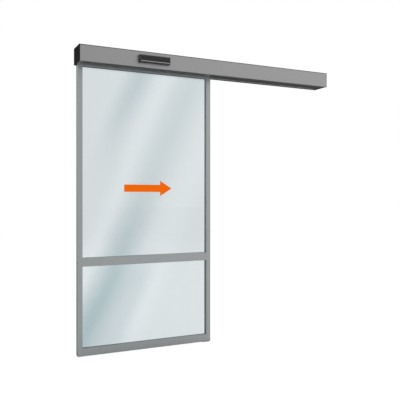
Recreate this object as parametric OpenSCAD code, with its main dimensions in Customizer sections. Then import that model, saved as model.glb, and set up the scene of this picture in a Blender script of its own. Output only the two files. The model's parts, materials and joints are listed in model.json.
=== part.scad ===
// Automatic sliding door: one glazed leaf that hangs from a wall-mounted header and slides to +X.
// Millimetres, +Z up, +Y into the wall, +X the way the leaf opens.
// The origin is the centre of the header's wall bolts, on the wall plane. The leaf is drawn closed.

/* [Header] */
// Length of the header over its end caps
header_l = 2150; // [1900:10:2600]
// Height of the header
header_h = 120; // [118:1:150]
// Depth of the header from the wall
header_d = 165; // [163:1:200]
// Clear height from the floor to the underside of the header
clear_h = 2100; // [1700:10:2600]
// Thickness of each end cap
cap_t = 3; // [2:0.5:6]
// Thickness of the back plate of the carrier profile
back_t = 6; // [5:0.5:8]
// Thickness of the top flange of the carrier profile
flange_t = 4; // [3:0.5:6]
// Wall thickness of the front cover
cover_t = 3; // [2:0.5:4]
// Outer radius of the cover's lower front edge
cover_r = 5; // [4.5:0.5:8]
// Height of the turned-up inner edge of the cover's bottom lip
cover_upturn = 12; // [6:1:14]
// Gap between the cover's bottom lip and the leaf
cover_gap = 4; // [3:0.5:8]
// Thickness of the black seal in the cover's top edge
edge_seal_t = 1.5; // [1:0.1:2]

/* [Wall fixing] */
// Distance along the header between the outer wall bolts
bolt_span = 1800; // [1500:10:1840]
// Distance between the upper and the lower row of wall bolts
bolt_rows = 60; // [56:1:64]
// Diameter of the wall bolt holes
bolt_d = 9; // [7:0.5:11]

/* [Leaf] */
// Width of the leaf
leaf_w = 1065; // [850:5:1280]
// Thickness of the leaf
leaf_t = 40; // [38:1:48]
// Distance from the header's left end to the leaf's left edge
leaf_start = 12; // [8:1:40]
// Distance from the open leaf's right edge to the header's right end
leaf_stop = 73; // [65:1:120]
// Distance from the front of the header to the front of the leaf
leaf_setback = 105.5; // [100:0.5:110]
// Gap between the leaf and the floor
floor_gap = 8; // [7:0.5:12]
// How far the leaf reaches up into the header
leaf_rise = 24; // [20:1:25]
// Face width of the stiles
stile_w = 36; // [33:1:60]
// Height of the mid rail's lower edge above the bottom of the leaf
mid_rail_z = 641; // [400:1:1200]
// Face height of the mid rail
mid_rail_h = 62; // [58:1:120]
// Face height of the bottom rail
bottom_rail_h = 53; // [52:1:120]
// Visible height of the top rail below the header
top_rail_drop = 10; // [8:1:60]
// Wall thickness of the leaf's hollow profiles
profile_t = 2.2; // [1.8:0.1:2.6]
// Radius of the profiles' outer edges
profile_r = 1; // [0.5:0.1:1.5]

/* [Glazing] */
// Thickness of the glass
glass_t = 8; // [6:0.5:10]
// How far the glass stands in the profiles
glass_bite = 12; // [8:0.5:13]
// Depth of the glazing channel
channel_d = 15.8; // [15:0.2:18]
// Thickness of the gasket on each side of the glass
gasket_t = 3.5; // [2.5:0.5:4]
// Visible height of the gasket beside the profiles
gasket_lip = 1; // [0.5:0.5:6]

/* [Arrow on the glass] */
// Length of the arrow
arrow_l = 382; // [200:1:500]
// Length of the arrow's head
arrow_head_l = 94; // [60:1:140]
// Height of the arrow's head
arrow_head_h = 117; // [80:1:160]
// Height of the arrow's shaft
arrow_shaft_h = 54; // [30:1:70]
// Distance from the leaf's left edge to the tail of the arrow
arrow_x = 353; // [60:1:400]
// Height of the arrow's centre line above the bottom of the leaf
arrow_z = 1208; // [900:1:1500]
// Thickness of the arrow's film
arrow_t = 0.3; // [0.2:0.1:0.5]

/* [Running gear] */
// Running radius of the wheels on the rail
wheel_r = 18; // [15:0.5:21.6]
// Width of the wheels
wheel_w = 10; // [8:0.5:12]
// Radius of the rail's round bead
bead_r = 2.5; // [2:0.25:3]
// Height of the rail's running edge above the underside of the header
rail_z = 68; // [66:1:70]
// Radius of the anti-lift rollers
lift_roller_r = 9; // [7:0.5:10]
// Diameter of the wheel axles
axle_d = 8; // [6:0.5:10]
// Distance between the two wheels of one carriage
wheel_base = 70; // [60:1:80]
// Length of a carriage
carriage_l = 120; // [112:1:160]
// Thickness of a carriage
carriage_t = 6; // [5:0.5:8]
// Distance from each side of the leaf to the middle of its carriage
carriage_in = 150; // [80:5:200]
// Diameter of the bolts that hang the leaf
hanger_d = 8; // [6:1:8]

/* [Belt drive] */
// Pitch of the belt's teeth
belt_pitch = 10; // [10:1:10]
// Number of teeth on each pulley
pulley_teeth = 16; // [14:1:16]
// Width of the belt
belt_w = 16; // [12:1:18]
// Height of the belt's teeth
tooth_h = 2.5; // [2:0.1:2.6]
// Thickness of the belt behind its teeth
belt_back = 2; // [1.5:0.1:2.5]
// Height of the pulleys' axes above the underside of the header
pulley_z = 72; // [70:1:74]
// Diameter of the motor
motor_d = 60; // [50:1:61]
// Length of the motor
motor_l = 190; // [140:5:240]

/* [Floor guide] */
// Width of the guide groove under the leaf
groove_w = 13.5; // [12:0.5:16]
// Depth of the guide groove
groove_d = 20; // [16:1:22]
// Clearance on each side of the guide block
guide_play = 0.75; // [0.5:0.05:0.9]
// Length of the guide block
guide_l = 40; // [30:1:60]
// Thickness of the floor plate
guide_plate_t = 3; // [2:0.5:3.5]

/* [Sensor] */
// Width of the motion sensor
sensor_w = 240; // [180:1:300]
// Height of the motion sensor
sensor_h = 54; // [44:1:60]
// Depth of the motion sensor
sensor_d = 28; // [25:1:50]
// Distance from the header's left end to the middle of the sensor
sensor_x = 557; // [300:1:1600]
// Height of the sensor's middle above the underside of the header
sensor_z = 61; // [45:1:64]
// Wall thickness of the sensor's housing
sensor_t = 2.5; // [2:0.5:3]
// Radius of the sensor's outer edges
sensor_r = 5; // [4:0.5:7]
// Height of the bright line on the sensor
trim_h = 3; // [3:0.5:5]
// Distance from the bottom of the sensor to the middle of the bright line
trim_z = 9; // [8:0.5:14]

/* [Hidden] */
$fn = 64;

// Clearances: a turning fit, a fixed fit, and a gap between pieces that pass each other
turn_fit = 0.08;
fixed_fit = 0.05;
pass_gap = 0.3;

// Edges of the header
left = -header_l / 2;
right = header_l / 2;
under = -header_h / 2;
top = header_h / 2;
front = -header_d;
inner_left = left + cap_t;
inner_right = right - cap_t;
cover_end_gap = 0.5;

// Hinge of the cover: a bead on the carrier in a hook on the cover. The hook is open between the angles
// of its mouth, and the seal lies on it from there to the cover's front wall
hinge_bead_r = 3;
hook_t = 1.7;
hook_r = hinge_bead_r + pass_gap + hook_t;
hook_out = hook_r + edge_seal_t;
hinge_y = front + hook_out;
hinge_z = top - hook_out;
neck_t = 2;
flange_front = hinge_y + hook_out + pass_gap;
hook_mouth = [-20, 120];
seal_end = 180;

// Slot under the top flange that the modules hang in
slot_y = front + 40;
slot_w = 8.4;
slot_in = 15;
slot_h = 7.5;
slot_lip = 2.5;
hang_z = top - flange_t - slot_h - slot_lip;
tab_t = 3;
tab_l = 20;
tab_w = 24;
slot_bolt_d = 6;

// The leaf's place
leaf_x0 = left + leaf_start;
leaf_x1 = leaf_x0 + leaf_w;
leaf_front = front + leaf_setback;
leaf_rear = leaf_front + leaf_t;
leaf_mid = (leaf_front + leaf_rear) / 2;
floor_z = under - clear_h;
leaf_bottom = floor_z + floor_gap;
leaf_top = under + leaf_rise;
travel = header_l - leaf_w - leaf_start - leaf_stop;
rail_x0 = leaf_x0 + stile_w;
rail_x1 = leaf_x1 - stile_w;
mid_rail_bottom = leaf_bottom + mid_rail_z;
mid_rail_top = mid_rail_bottom + mid_rail_h;
bottom_rail_top = leaf_bottom + bottom_rail_h;
top_rail_bottom = under - top_rail_drop;
channel_w = glass_t + 2 * gasket_t;
web = 2.4;

// Rail and its arm
rail_top = under + rail_z;
rail_bead_z = rail_top - bead_r;
rail_base_t = 2;
rail_base_w = 11;
damper_t = 1.5;
damper_w = 13;
rail_neck = 1;
arm_top = rail_bead_z - rail_neck - rail_base_t - damper_t;
arm_t = 5;
arm_bottom = arm_top - arm_t;
arm_reach = 8;
arm_front = leaf_mid - arm_reach;

// Wheels and carriages
wheel_z = rail_top + wheel_r;
flange_r = wheel_r + bead_r;
lift_z = arm_bottom - 0.5 - lift_roller_r;
plate_rear = leaf_mid - wheel_w / 2 - 5.5;
plate_front = plate_rear - carriage_t;
foot_bottom = leaf_top + 4;
foot_top = foot_bottom + carriage_t;
plate_top = wheel_z + 12;
carriage_x = [leaf_x0 + carriage_in, leaf_x1 - carriage_in];
hanger_off = carriage_l / 2 - 16;
window_w = 30;
window_h = 14;
wheel_x = [for (c = carriage_x) for (s = [-1, 1]) c + s * wheel_base / 2];

// Belt and pulleys
belt_y1 = plate_front - 13;
belt_y0 = belt_y1 - belt_w;
pitch_r = belt_pitch * pulley_teeth / (2 * PI);
root_r = pitch_r - 1;
back_r = root_r + belt_back;
belt_z = under + pulley_z;
end_room = 75;
drive_room = 125;
idler_x = left + end_room;
pulley_gap = belt_pitch / 2 * floor((header_l - end_room - drive_room) / (belt_pitch / 2));
drive_x = idler_x + pulley_gap;
tooth_root_w = 6.5;
tooth_tip_w = 4.7;
tooth_play = 0.2;
flange_lip = 1.5;
belt_side = 0.5;
shaft_d = 12;
idler_axle_d = 10;
bearing_d = 26;
clamp_x = carriage_x[1];
clamp_l = 50;

// Zone of the modules, in front of the belt
zone_front = front + cover_t + 6;
zone_rear = belt_y0 - 7;
module_bottom = under + 12;
control_x = idler_x + 92;
control_l = 280;
supply_x = control_x + control_l + 2 * tab_l + 15;
supply_l = 190;
battery_x = supply_x + supply_l + 2 * tab_l + 15;
battery_l = 170;
gearbox_l = 92;
gearbox_boss_d = 36;
bracket_t = 3;
bracket_l = 140;
idler_bracket_x = [idler_x - 22, idler_x + 42];
idler_plate_y = zone_rear - bracket_t - 1;
tension_y = idler_plate_y - 9;

// Screws in the ends of the carrier
port_r = 4.5;
port_d = 4.2;
cap_head_d = 8;
cap_head_h = 2.2;
ports = [[-9, top - 9], [-9, under + 9], [front + 62, top - flange_t - 3]];

// Draws an axis-parallel rectangle between two corners
module rect(lo, hi) {
    translate(lo) square(hi - lo);
}

// Draws a rectangle with round corners
module round_rect(lo, hi, r) {
    rect([lo.x + r, lo.y], [hi.x - r, hi.y]);
    rect([lo.x, lo.y + r], [hi.x, hi.y - r]);
    for (x = [lo.x + r, hi.x - r], y = [lo.y + r, hi.y - r])
        translate([x, y]) circle(r = r);
}

// Draws a sector between two angles that reaches well past a radius, to cut circles with
module fan(r, from, to) {
    steps = ceil((to - from) / 30);
    polygon(concat([[0, 0]], [for (i = [0 : steps])
                                 let (a = from + (to - from) * i / steps) [cos(a), sin(a)] * 1.5 * r]));
}

// Extrudes a section drawn in Y and Z along X
module along_x(x0, x1) {
    translate([x0, 0, 0]) rotate([90, 0, 90]) linear_extrude(x1 - x0) children();
}

// Extrudes a section drawn in X and Z along Y
module along_y(y0, y1) {
    translate([0, y1, 0]) rotate([90, 0, 0]) linear_extrude(y1 - y0) children();
}

// Extrudes a section drawn in X and Y along Z
module along_z(z0, z1) {
    translate([0, 0, z0]) linear_extrude(z1 - z0) children();
}

module block(lo, hi) {
    translate(lo) cube(hi - lo);
}

module rod_x(x0, x1, y, z, d) {
    translate([x0, y, z]) rotate([0, 90, 0]) cylinder(d = d, h = x1 - x0);
}

module rod_y(y0, y1, x, z, d) {
    translate([x, y0, z]) rotate([-90, 0, 0]) cylinder(d = d, h = y1 - y0);
}

module rod_z(z0, z1, x, y, d) {
    translate([x, y, z0]) cylinder(d = d, h = z1 - z0);
}

// A hexagon of a given width over its flats, along Z or along Y
module hex_z(z0, z1, x, y, flats) {
    translate([x, y, z0]) cylinder(d = flats / cos(30), h = z1 - z0, $fn = 6);
}

module hex_y(y0, y1, x, z, flats) {
    translate([x, y0, z]) rotate([-90, 0, 0]) cylinder(d = flats / cos(30), h = y1 - y0, $fn = 6);
}

// HEADER

// Section of the aluminium carrier, in Y and Z
module carrier_section() {
    difference() {
        union() {
            rect([-back_t, under], [0, top]);
            rect([flange_front, top - flange_t], [0, top]);
            rect([flange_front, hinge_z - neck_t / 2], [flange_front + 9, top]);
            rect([hinge_y, hinge_z - neck_t / 2], [flange_front + 9, hinge_z + neck_t / 2]);
            translate([hinge_y, hinge_z]) circle(r = hinge_bead_r);
            slot_section();
            arm_section();
            rect([-14, under], [0, under + 4]);
            for (p = ports)
                translate(p) circle(r = port_r);
        }
        for (p = ports)
            translate(p) circle(d = port_d);
    }
}

// Two ribs with lips that make the downward slot
module slot_section() {
    for (s = [-1, 1]) {
        rib = s * (slot_in / 2 + slot_lip / 2);
        rect([slot_y + rib - slot_lip / 2, hang_z], [slot_y + rib + slot_lip / 2, top - flange_t + 1]);
        lip_mid = s * (slot_in + slot_w) / 4;
        lip_half = (slot_in - slot_w) / 4 + 0.5;
        rect([slot_y + lip_mid - lip_half + s * 0.5, hang_z],
             [slot_y + lip_mid + lip_half + s * 0.5, hang_z + slot_lip]);
    }
}

// The arm that carries the rail, with a fillet below and a seat for the damper strip
module arm_section() {
    fillet = 6;
    rect([arm_front, arm_bottom], [0, arm_top]);
    for (y = [arm_front, leaf_mid + damper_w / 2 + 0.1])
        rect([y, arm_bottom], [y + 1.4, arm_top + 2]);
    difference() {
        rect([-back_t - fillet, arm_bottom - fillet], [0, arm_bottom + 1]);
        translate([-back_t - fillet, arm_bottom - fillet]) circle(r = fillet);
    }
}

module carrier_profile() {
    color("silver") difference() {
        along_x(inner_left, inner_right) carrier_section();
        for (x = [-1, 1] * bolt_span / 2, z = [-1, 1] * bolt_rows / 2)
            rod_y(-back_t - 1, 1, x, z, bolt_d);
        for (x = [-1, 1] * bolt_span / 6, z = [-1, 1] * bolt_rows / 2)
            rod_y(-back_t - 1, 1, x, z, bolt_d);
        rod_z(top - flange_t - 1, top + 1, grommet_x, grommet_y, grommet_d);
    }
}

// Outline of the header seen from its end, in Y and Z
module header_outline() {
    rect([hinge_y, under], [0, top]);
    rect([front, under + cover_r], [hinge_y + 1, hinge_z]);
    translate([hinge_y, hinge_z]) circle(r = hook_out);
    translate([front + cover_r, under + cover_r]) circle(r = cover_r);
    rect([front + cover_r, under], [hinge_y + cover_r, under + cover_r]);
}

peg_y = front + 24;
peg_z = under + 14;
peg_d = 7;
peg_l = 16;

// An end cap, with the peg that the cover's clip grips; side is -1 at the left
module end_cap(side) {
    outer = side < 0 ? left : inner_right;
    color([0.13, 0.13, 0.14]) difference() {
        union() {
            along_x(outer, outer + cap_t) header_outline();
            rod_x(side < 0 ? inner_left : inner_right - peg_l, side < 0 ? inner_left + peg_l : inner_right,
                  peg_y, peg_z, peg_d);
        }
        for (p = ports) {
            rod_x(outer - 1, outer + cap_t + 1, p.x, p.y, port_d + 0.4);
            translate([side < 0 ? left : right, p.x, p.y]) rotate([0, -90 * side, 0])
                mirror([0, 0, 1]) screw_head(0.1);
        }
    }
}

// Countersunk head, flush at z = 0 and pointing down
module screw_head(play) {
    translate([0, 0, -cap_head_h])
        cylinder(d1 = port_d, d2 = cap_head_d + 2 * play, h = cap_head_h + play / 10);
}

module cap_screws() {
    color("silver") for (side = [-1, 1], p = ports)
        translate([side * header_l / 2, p.x, p.y]) rotate([0, 90 * side, 0]) {
            screw_head(0);
            translate([0, 0, -16]) cylinder(d = port_d - 2 * fixed_fit, h = 15);
        }
}

module rail_damper() {
    color([0.1, 0.1, 0.1]) along_x(inner_left + 5, inner_right - 5)
        rect([leaf_mid - damper_w / 2, arm_top], [leaf_mid + damper_w / 2, arm_top + damper_t]);
}

module running_rail() {
    base_z = arm_top + damper_t;
    color("gainsboro") along_x(inner_left + 5, inner_right - 5) {
        rect([leaf_mid - rail_base_w / 2, base_z], [leaf_mid + rail_base_w / 2, base_z + rail_base_t]);
        rect([leaf_mid - bead_r, base_z + 1], [leaf_mid + bead_r, rail_bead_z]);
        translate([leaf_mid, rail_bead_z]) circle(r = bead_r);
    }
}

// Stops for the two end positions of the leaf
stop_l = 34;
stop_gap = 0.5;
buffer_d = 16;
buffer_l = 12;
stop_y0 = plate_front - 4;
stop_y1 = -back_t - 12;
stop_z0 = foot_top + 3;
stop_z1 = arm_bottom;
buffer_z = (stop_z0 + stop_z1) / 2;
buffer_y = (plate_front + plate_rear) / 2;
stop_x = [carriage_x[0] - carriage_l / 2 - stop_gap - buffer_l,
          carriage_x[1] + carriage_l / 2 + travel + stop_gap + buffer_l];

module stop_brackets() {
    color("dimgray") for (i = [0, 1]) {
        x0 = i == 0 ? stop_x[0] - stop_l : stop_x[1];
        difference() {
            along_y(stop_y0, stop_y1) round_rect([x0, stop_z0], [x0 + stop_l, stop_z1], 2);
            rod_x(x0 - 1, x0 + stop_l + 1, buffer_y, buffer_z, 5.2);
            block([x0 + 6, leaf_mid + 6, stop_z0 - 1], [x0 + stop_l - 6, stop_y1 + 1, stop_z1 - 4]);
        }
    }
}

module buffers() {
    color([0.08, 0.08, 0.08]) for (i = [0, 1]) {
        x0 = i == 0 ? stop_x[0] : stop_x[1] - buffer_l;
        rod_x(x0, x0 + buffer_l, buffer_y, buffer_z, buffer_d);
        rod_x(i == 0 ? x0 - 10 : x0, i == 0 ? x0 + 1 : x0 + buffer_l + 10, buffer_y, buffer_z, 5);
    }
}

// Rubber grommet with a closed membrane, for the supply cable
grommet_x = inner_right - 90;
grommet_y = -26;
grommet_d = 20;

module cable_grommet() {
    rim = 2;
    color([0.1, 0.1, 0.1]) difference() {
        union() {
            rod_z(top - flange_t, top, grommet_x, grommet_y, grommet_d - 2 * turn_fit);
            rod_z(top - flange_t - rim, top - flange_t, grommet_x, grommet_y, grommet_d + 5);
        }
        rod_z(top - 2, top + 1, grommet_x, grommet_y, grommet_d - 6);
        rod_z(top - flange_t - rim - 1, top - 3.2, grommet_x, grommet_y, grommet_d - 6);
    }
}

// MODULES THAT HANG IN THE SLOT

// A plate with a tab at each end, up against the slot, with the bolt holes
module hanger_plate(x0, x1) {
    difference() {
        block([x0 - tab_l, slot_y - tab_w / 2, hang_z - tab_t], [x1 + tab_l, slot_y + tab_w / 2, hang_z]);
        for (x = [x0 - tab_l / 2, x1 + tab_l / 2])
            rod_z(hang_z - tab_t - 1, hang_z + 1, x, slot_y, slot_bolt_d + 0.6);
    }
}

// The T-bolt that holds a tab, with its nut
module slot_bolt(x) {
    block([x - 6, slot_y - slot_in / 2 + pass_gap, hang_z + slot_lip],
          [x + 6, slot_y + slot_in / 2 - pass_gap, hang_z + slot_lip + 5]);
    rod_z(hang_z - tab_t - 9, hang_z + slot_lip + 1, x, slot_y, slot_bolt_d);
    hex_z(hang_z - tab_t - 5, hang_z - tab_t, x, slot_y, 10);
}

module_x = [[control_x, control_x + control_l], [supply_x, supply_x + supply_l],
            [battery_x, battery_x + battery_l], idler_bracket_x,
            [drive_x - bracket_l / 2, drive_x + bracket_l / 2]];

module slot_bolts() {
    color("lightgray") for (m = module_x, x = [m[0] - tab_l / 2, m[1] + tab_l / 2])
        slot_bolt(x);
}

// Control unit: a finned housing with a row of plug-in terminals along its lower front edge
module control_unit() {
    x1 = control_x + control_l;
    terminals = 10;
    pitch = (control_l - 40) / terminals;
    color([0.32, 0.34, 0.36]) {
        difference() {
            union() {
                along_x(control_x, x1)
                    round_rect([zone_front, module_bottom], [zone_rear, hang_z - tab_t], 3);
                hanger_plate(control_x, x1);
            }
            block([control_x + 15, zone_front - 1, module_bottom - 1],
                  [x1 - 15, zone_front + 14, module_bottom + 20]);
            for (i = [0 : 15])
                block([control_x + 15 + i * (control_l - 30) / 16, zone_front - 1, hang_z - 34],
                      [control_x + 22 + i * (control_l - 30) / 16, zone_front + 2, hang_z - 14]);
        }
        for (i = [0 : terminals - 1])
            difference() {
                block([control_x + 20 + i * pitch, zone_front + 3, module_bottom + 4],
                      [control_x + 20 + (i + 0.86) * pitch, zone_front + 15, module_bottom + 21]);
                block([control_x + 24 + i * pitch, zone_front + 2, module_bottom + 8],
                      [control_x + 16 + (i + 0.86) * pitch, zone_front + 8, module_bottom + 15]);
            }
    }
}

// Power supply: a sheet-metal case with ventilation slots
module power_supply() {
    x1 = supply_x + supply_l;
    slots = 9;
    step = (supply_l - 30) / slots;
    color([0.7, 0.71, 0.72]) difference() {
        union() {
            block([supply_x, zone_front, module_bottom + 6], [x1, zone_rear, hang_z - tab_t]);
            hanger_plate(supply_x, x1);
        }
        block([supply_x + 1.5, zone_front + 1.5, module_bottom + 7.5],
              [x1 - 1.5, zone_rear - 1.5, hang_z - tab_t - 1.5]);
        for (i = [0 : slots - 1])
            block([supply_x + 17 + i * step, zone_front - 1, module_bottom + 24],
                  [supply_x + 22 + i * step, zone_front + 3, hang_z - 22]);
    }
}

// Battery pack: two round-edged cells under a strap plate
module battery_pack() {
    x1 = battery_x + battery_l;
    cell = (battery_l - 4) / 2;
    color([0.15, 0.22, 0.34]) {
        for (i = [0, 1])
            along_x(battery_x + i * (cell + 4), battery_x + i * (cell + 4) + cell)
                round_rect([zone_front + 4, module_bottom + 8], [zone_rear - 2, hang_z - tab_t], 6);
        block([battery_x + 10, zone_front + 14, module_bottom + 12], [x1 - 10, zone_rear - 12, hang_z - 8]);
        hanger_plate(battery_x, x1);
    }
}

// Worm gearbox: a cast housing with its output boss towards the belt
motor_gap = 0.5;
gearbox_y1 = zone_rear - bracket_t;
motor_y = gearbox_y1 - motor_gap - motor_d / 2;
motor_z = under + 14 + motor_d / 2;
gear_x0 = drive_x - gearbox_l / 2;

module gearbox() {
    color([0.62, 0.63, 0.64]) difference() {
        union() {
            along_x(gear_x0, gear_x0 + gearbox_l)
                round_rect([zone_front, module_bottom], [gearbox_y1, hang_z - tab_t - 1], 6);
            rod_y(gearbox_y1 - 2, zone_rear + 1.5, drive_x, belt_z, gearbox_boss_d);
            rod_x(gear_x0 - 8, gear_x0 + 1, motor_y, motor_z, motor_d);
        }
        rod_y(gearbox_y1 - 40, zone_rear + 2, drive_x, belt_z, shaft_d + 2 * turn_fit);
        for (i = [0 : 5])
            block([gear_x0 + 10 + i * 13, zone_front - 1, module_bottom + 14],
                  [gear_x0 + 17 + i * 13, zone_front + 2, hang_z - 16]);
    }
}

// Motor: a finned barrel with an end bell and an encoder cap
module motor() {
    x1 = gear_x0 - 8;
    x0 = x1 - motor_l;
    color([0.2, 0.2, 0.22]) difference() {
        union() {
            rod_x(x0 + 30, x1, motor_y, motor_z, motor_d);
            rod_x(x0 + 8, x0 + 31, motor_y, motor_z, motor_d - 6);
            rod_x(x0, x0 + 9, motor_y, motor_z, motor_d - 22);
        }
        for (i = [0 : 8])
            difference() {
                rod_x(x0 + 44 + i * 15, x0 + 49 + i * 15, motor_y, motor_z, motor_d + 2);
                rod_x(x0 + 43 + i * 15, x0 + 50 + i * 15, motor_y, motor_z, motor_d - 3);
            }
    }
}

module motor_bracket() {
    color("gainsboro") difference() {
        union() {
            hanger_plate(drive_x - bracket_l / 2, drive_x + bracket_l / 2);
            block([drive_x - bracket_l / 2, slot_y, hang_z - tab_t],
                  [drive_x + bracket_l / 2, zone_rear, hang_z]);
            along_y(gearbox_y1, zone_rear)
                round_rect([drive_x - bracket_l / 2, module_bottom], [drive_x + bracket_l / 2, hang_z], 3);
        }
        rod_y(gearbox_y1 - 1, zone_rear + 1, drive_x, belt_z, gearbox_boss_d + 2 * fixed_fit);
        for (s = [-1, 1])
            rod_y(gearbox_y1 - 1, zone_rear + 1, drive_x + s * 34, belt_z - 26, 6.6);
    }
}

// Idler bracket: an angle plate with a slotted hole, so that the axle can be drawn to the left
module idler_bracket() {
    x0 = idler_bracket_x[0];
    x1 = idler_bracket_x[1];
    color("gainsboro") {
        difference() {
            union() {
                hanger_plate(x0, x1);
                block([x0, slot_y, hang_z - tab_t], [x1, zone_rear, hang_z]);
                along_y(idler_plate_y, zone_rear) round_rect([x0, belt_z - 30], [x1, hang_z], 3);
            }
            along_y(idler_plate_y - 1, zone_rear + 1) {
                for (s = [-8, 8])
                    translate([idler_x + s, belt_z]) circle(d = idler_axle_d + 0.4);
                rect([idler_x - 8, belt_z - idler_axle_d / 2 - 0.2],
                     [idler_x + 8, belt_z + idler_axle_d / 2 + 0.2]);
            }
        }
        difference() {
            block([x0, idler_plate_y - 16, belt_z - 12], [x0 + 5, idler_plate_y + 1, belt_z + 12]);
            rod_x(x0 - 1, x0 + 6, tension_y, belt_z, 6.4);
        }
    }
}

// Axle of the idler, with the square foot that the tension screw draws along the slotted hole
module idler_axle() {
    color("silver") {
        rod_y(idler_plate_y - 1, belt_y1 + 5, idler_x, belt_z, idler_axle_d);
        block([idler_x - 9, idler_plate_y - 16, belt_z - 9], [idler_x + 9, idler_plate_y, belt_z + 9]);
        rod_y(zone_rear, belt_y0 - flange_lip - 1, idler_x, belt_z, 16);
    }
}

module tension_screw() {
    head = idler_bracket_x[0] - 6;
    color("lightgray") {
        rod_x(head, idler_x - 9, tension_y, belt_z, 6);
        translate([head, tension_y, belt_z]) rotate([0, 90, 0]) cylinder(d = 10 / cos(30), h = 6, $fn = 6);
    }
}

// BELT DRIVE

// Outline of one tooth of the belt at the origin, pointing to -Y from the root line
function tooth_outline(play) = [
    [-tooth_root_w / 2 - play, 0], [-tooth_tip_w / 2 - play, -tooth_h - play],
    [tooth_tip_w / 2 + play, -tooth_h - play], [tooth_root_w / 2 + play, 0]];

// Places a point of the straight belt on its oval path; s runs along the pitch line from the top left
function on_path(s, out) =
    let (half = PI * pitch_r)
    s <= pulley_gap ? [idler_x + s, belt_z + root_r + out]
    : s <= pulley_gap + half ?
        let (a = 90 - (s - pulley_gap) / half * 180)
        [drive_x + (root_r + out) * cos(a), belt_z + (root_r + out) * sin(a)]
    : s <= 2 * pulley_gap + half ? [drive_x - (s - pulley_gap - half), belt_z - root_r - out]
    : let (a = 270 - (s - 2 * pulley_gap - half) / half * 180)
      [idler_x + (root_r + out) * cos(a), belt_z + (root_r + out) * sin(a)];

belt_teeth = round(2 * pulley_gap / belt_pitch) + pulley_teeth;

// Inner outline of the belt, tooth by tooth
module belt_inner() {
    polygon([for (i = [0 : belt_teeth - 1])
                for (p = tooth_outline(0)) on_path((i + 0.5) * belt_pitch + p.x, p.y)]);
}

// The oval that the back of the belt follows
module belt_oval(r) {
    for (x = [idler_x, drive_x])
        translate([x, belt_z]) circle(r = r);
    rect([idler_x, belt_z - r], [drive_x, belt_z + r]);
}

module toothed_belt() {
    color([0.09, 0.09, 0.1]) along_y(belt_y0, belt_y1)
        difference() {
            belt_oval(back_r);
            belt_inner();
        }
}

// Section of a toothed pulley, with its spaces where the belt's teeth stand
module pulley_section(x) {
    difference() {
        translate([x, belt_z]) circle(r = root_r - pass_gap);
        for (i = [0 : pulley_teeth - 1])
            translate([x, belt_z]) rotate((i + 0.5) * 360 / pulley_teeth)
                translate([0, root_r]) polygon(concat(tooth_outline(tooth_play), [[4, 2], [-4, 2]]));
    }
}

module pulley(x, bore) {
    difference() {
        union() {
            along_y(belt_y0 - belt_side, belt_y1 + belt_side) pulley_section(x);
            for (y = [belt_y0 - belt_side - flange_lip, belt_y1 + belt_side])
                rod_y(y, y + flange_lip, x, belt_z, 2 * back_r + 3);
        }
        rod_y(belt_y0 - 5, belt_y1 + 5, x, belt_z, bore);
    }
}

module drive_pulley() {
    color("silver") pulley(drive_x, shaft_d + 2 * fixed_fit);
}

module drive_shaft() {
    color("gray") {
        rod_y(gearbox_y1 - 38, belt_y1 + 3, drive_x, belt_z, shaft_d);
        rod_y(belt_y1 + belt_side + flange_lip, belt_y1 + 5, drive_x, belt_z, shaft_d + 6);
    }
}

module idler_pulley() {
    color("silver") pulley(idler_x, bearing_d + 2 * fixed_fit);
}

// Ball bearing of the idler: two rings, joined by their shields
module idler_bearing() {
    y0 = belt_y0 + 2;
    y1 = belt_y1 - 2;
    color("gray") difference() {
        rod_y(y0, y1, idler_x, belt_z, bearing_d);
        rod_y(y0 - 1, y1 + 1, idler_x, belt_z, idler_axle_d + 2 * turn_fit);
        for (y = [y0 - 1, y1 - 0.6])
            difference() {
                rod_y(y, y + 1.6, idler_x, belt_z, bearing_d - 5);
                rod_y(y - 1, y + 3, idler_x, belt_z, idler_axle_d + 5);
            }
    }
}

// FLOOR GUIDE

guide_x1 = leaf_x1 - 12;
guide_x0 = guide_x1 - guide_l;
guide_mid = (guide_x0 + guide_x1) / 2;
guide_w = groove_w - 2 * guide_play;
guide_screw_d = 5.5;
guide_screw_y = -8.5;
guide_screw_off = 18;

module floor_plate() {
    half = guide_screw_off + 12;
    color("silver") difference() {
        along_z(floor_z, floor_z + guide_plate_t)
            round_rect([guide_mid - half, leaf_mid - groove_w], [guide_mid + half, 0], 3);
        for (s = [-1, 1])
            rod_z(floor_z - 1, floor_z + guide_plate_t + 1, guide_mid + s * guide_screw_off,
                  guide_screw_y, guide_screw_d);
    }
}

module guide_block() {
    top_z = leaf_bottom + groove_d - 4;
    color([0.1, 0.1, 0.1]) {
        along_z(floor_z + guide_plate_t, top_z) {
            rect([guide_x0 + guide_w / 2, leaf_mid - guide_w / 2],
                 [guide_x1 - guide_w / 2, leaf_mid + guide_w / 2]);
            for (x = [guide_x0 + guide_w / 2, guide_x1 - guide_w / 2])
                translate([x, leaf_mid]) circle(d = guide_w);
        }
    }
}

// COVER AND SENSOR

// Sector of a ring round the hinge, between two radii and two angles
module ring_sector(inner, outer, from, to) {
    intersection() {
        difference() {
            circle(r = outer);
            circle(r = inner);
        }
        fan(outer, from, to);
    }
}

// Stiffening ribs along the inside of the cover
cover_rib_z = [under + 34, top - 30];

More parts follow.
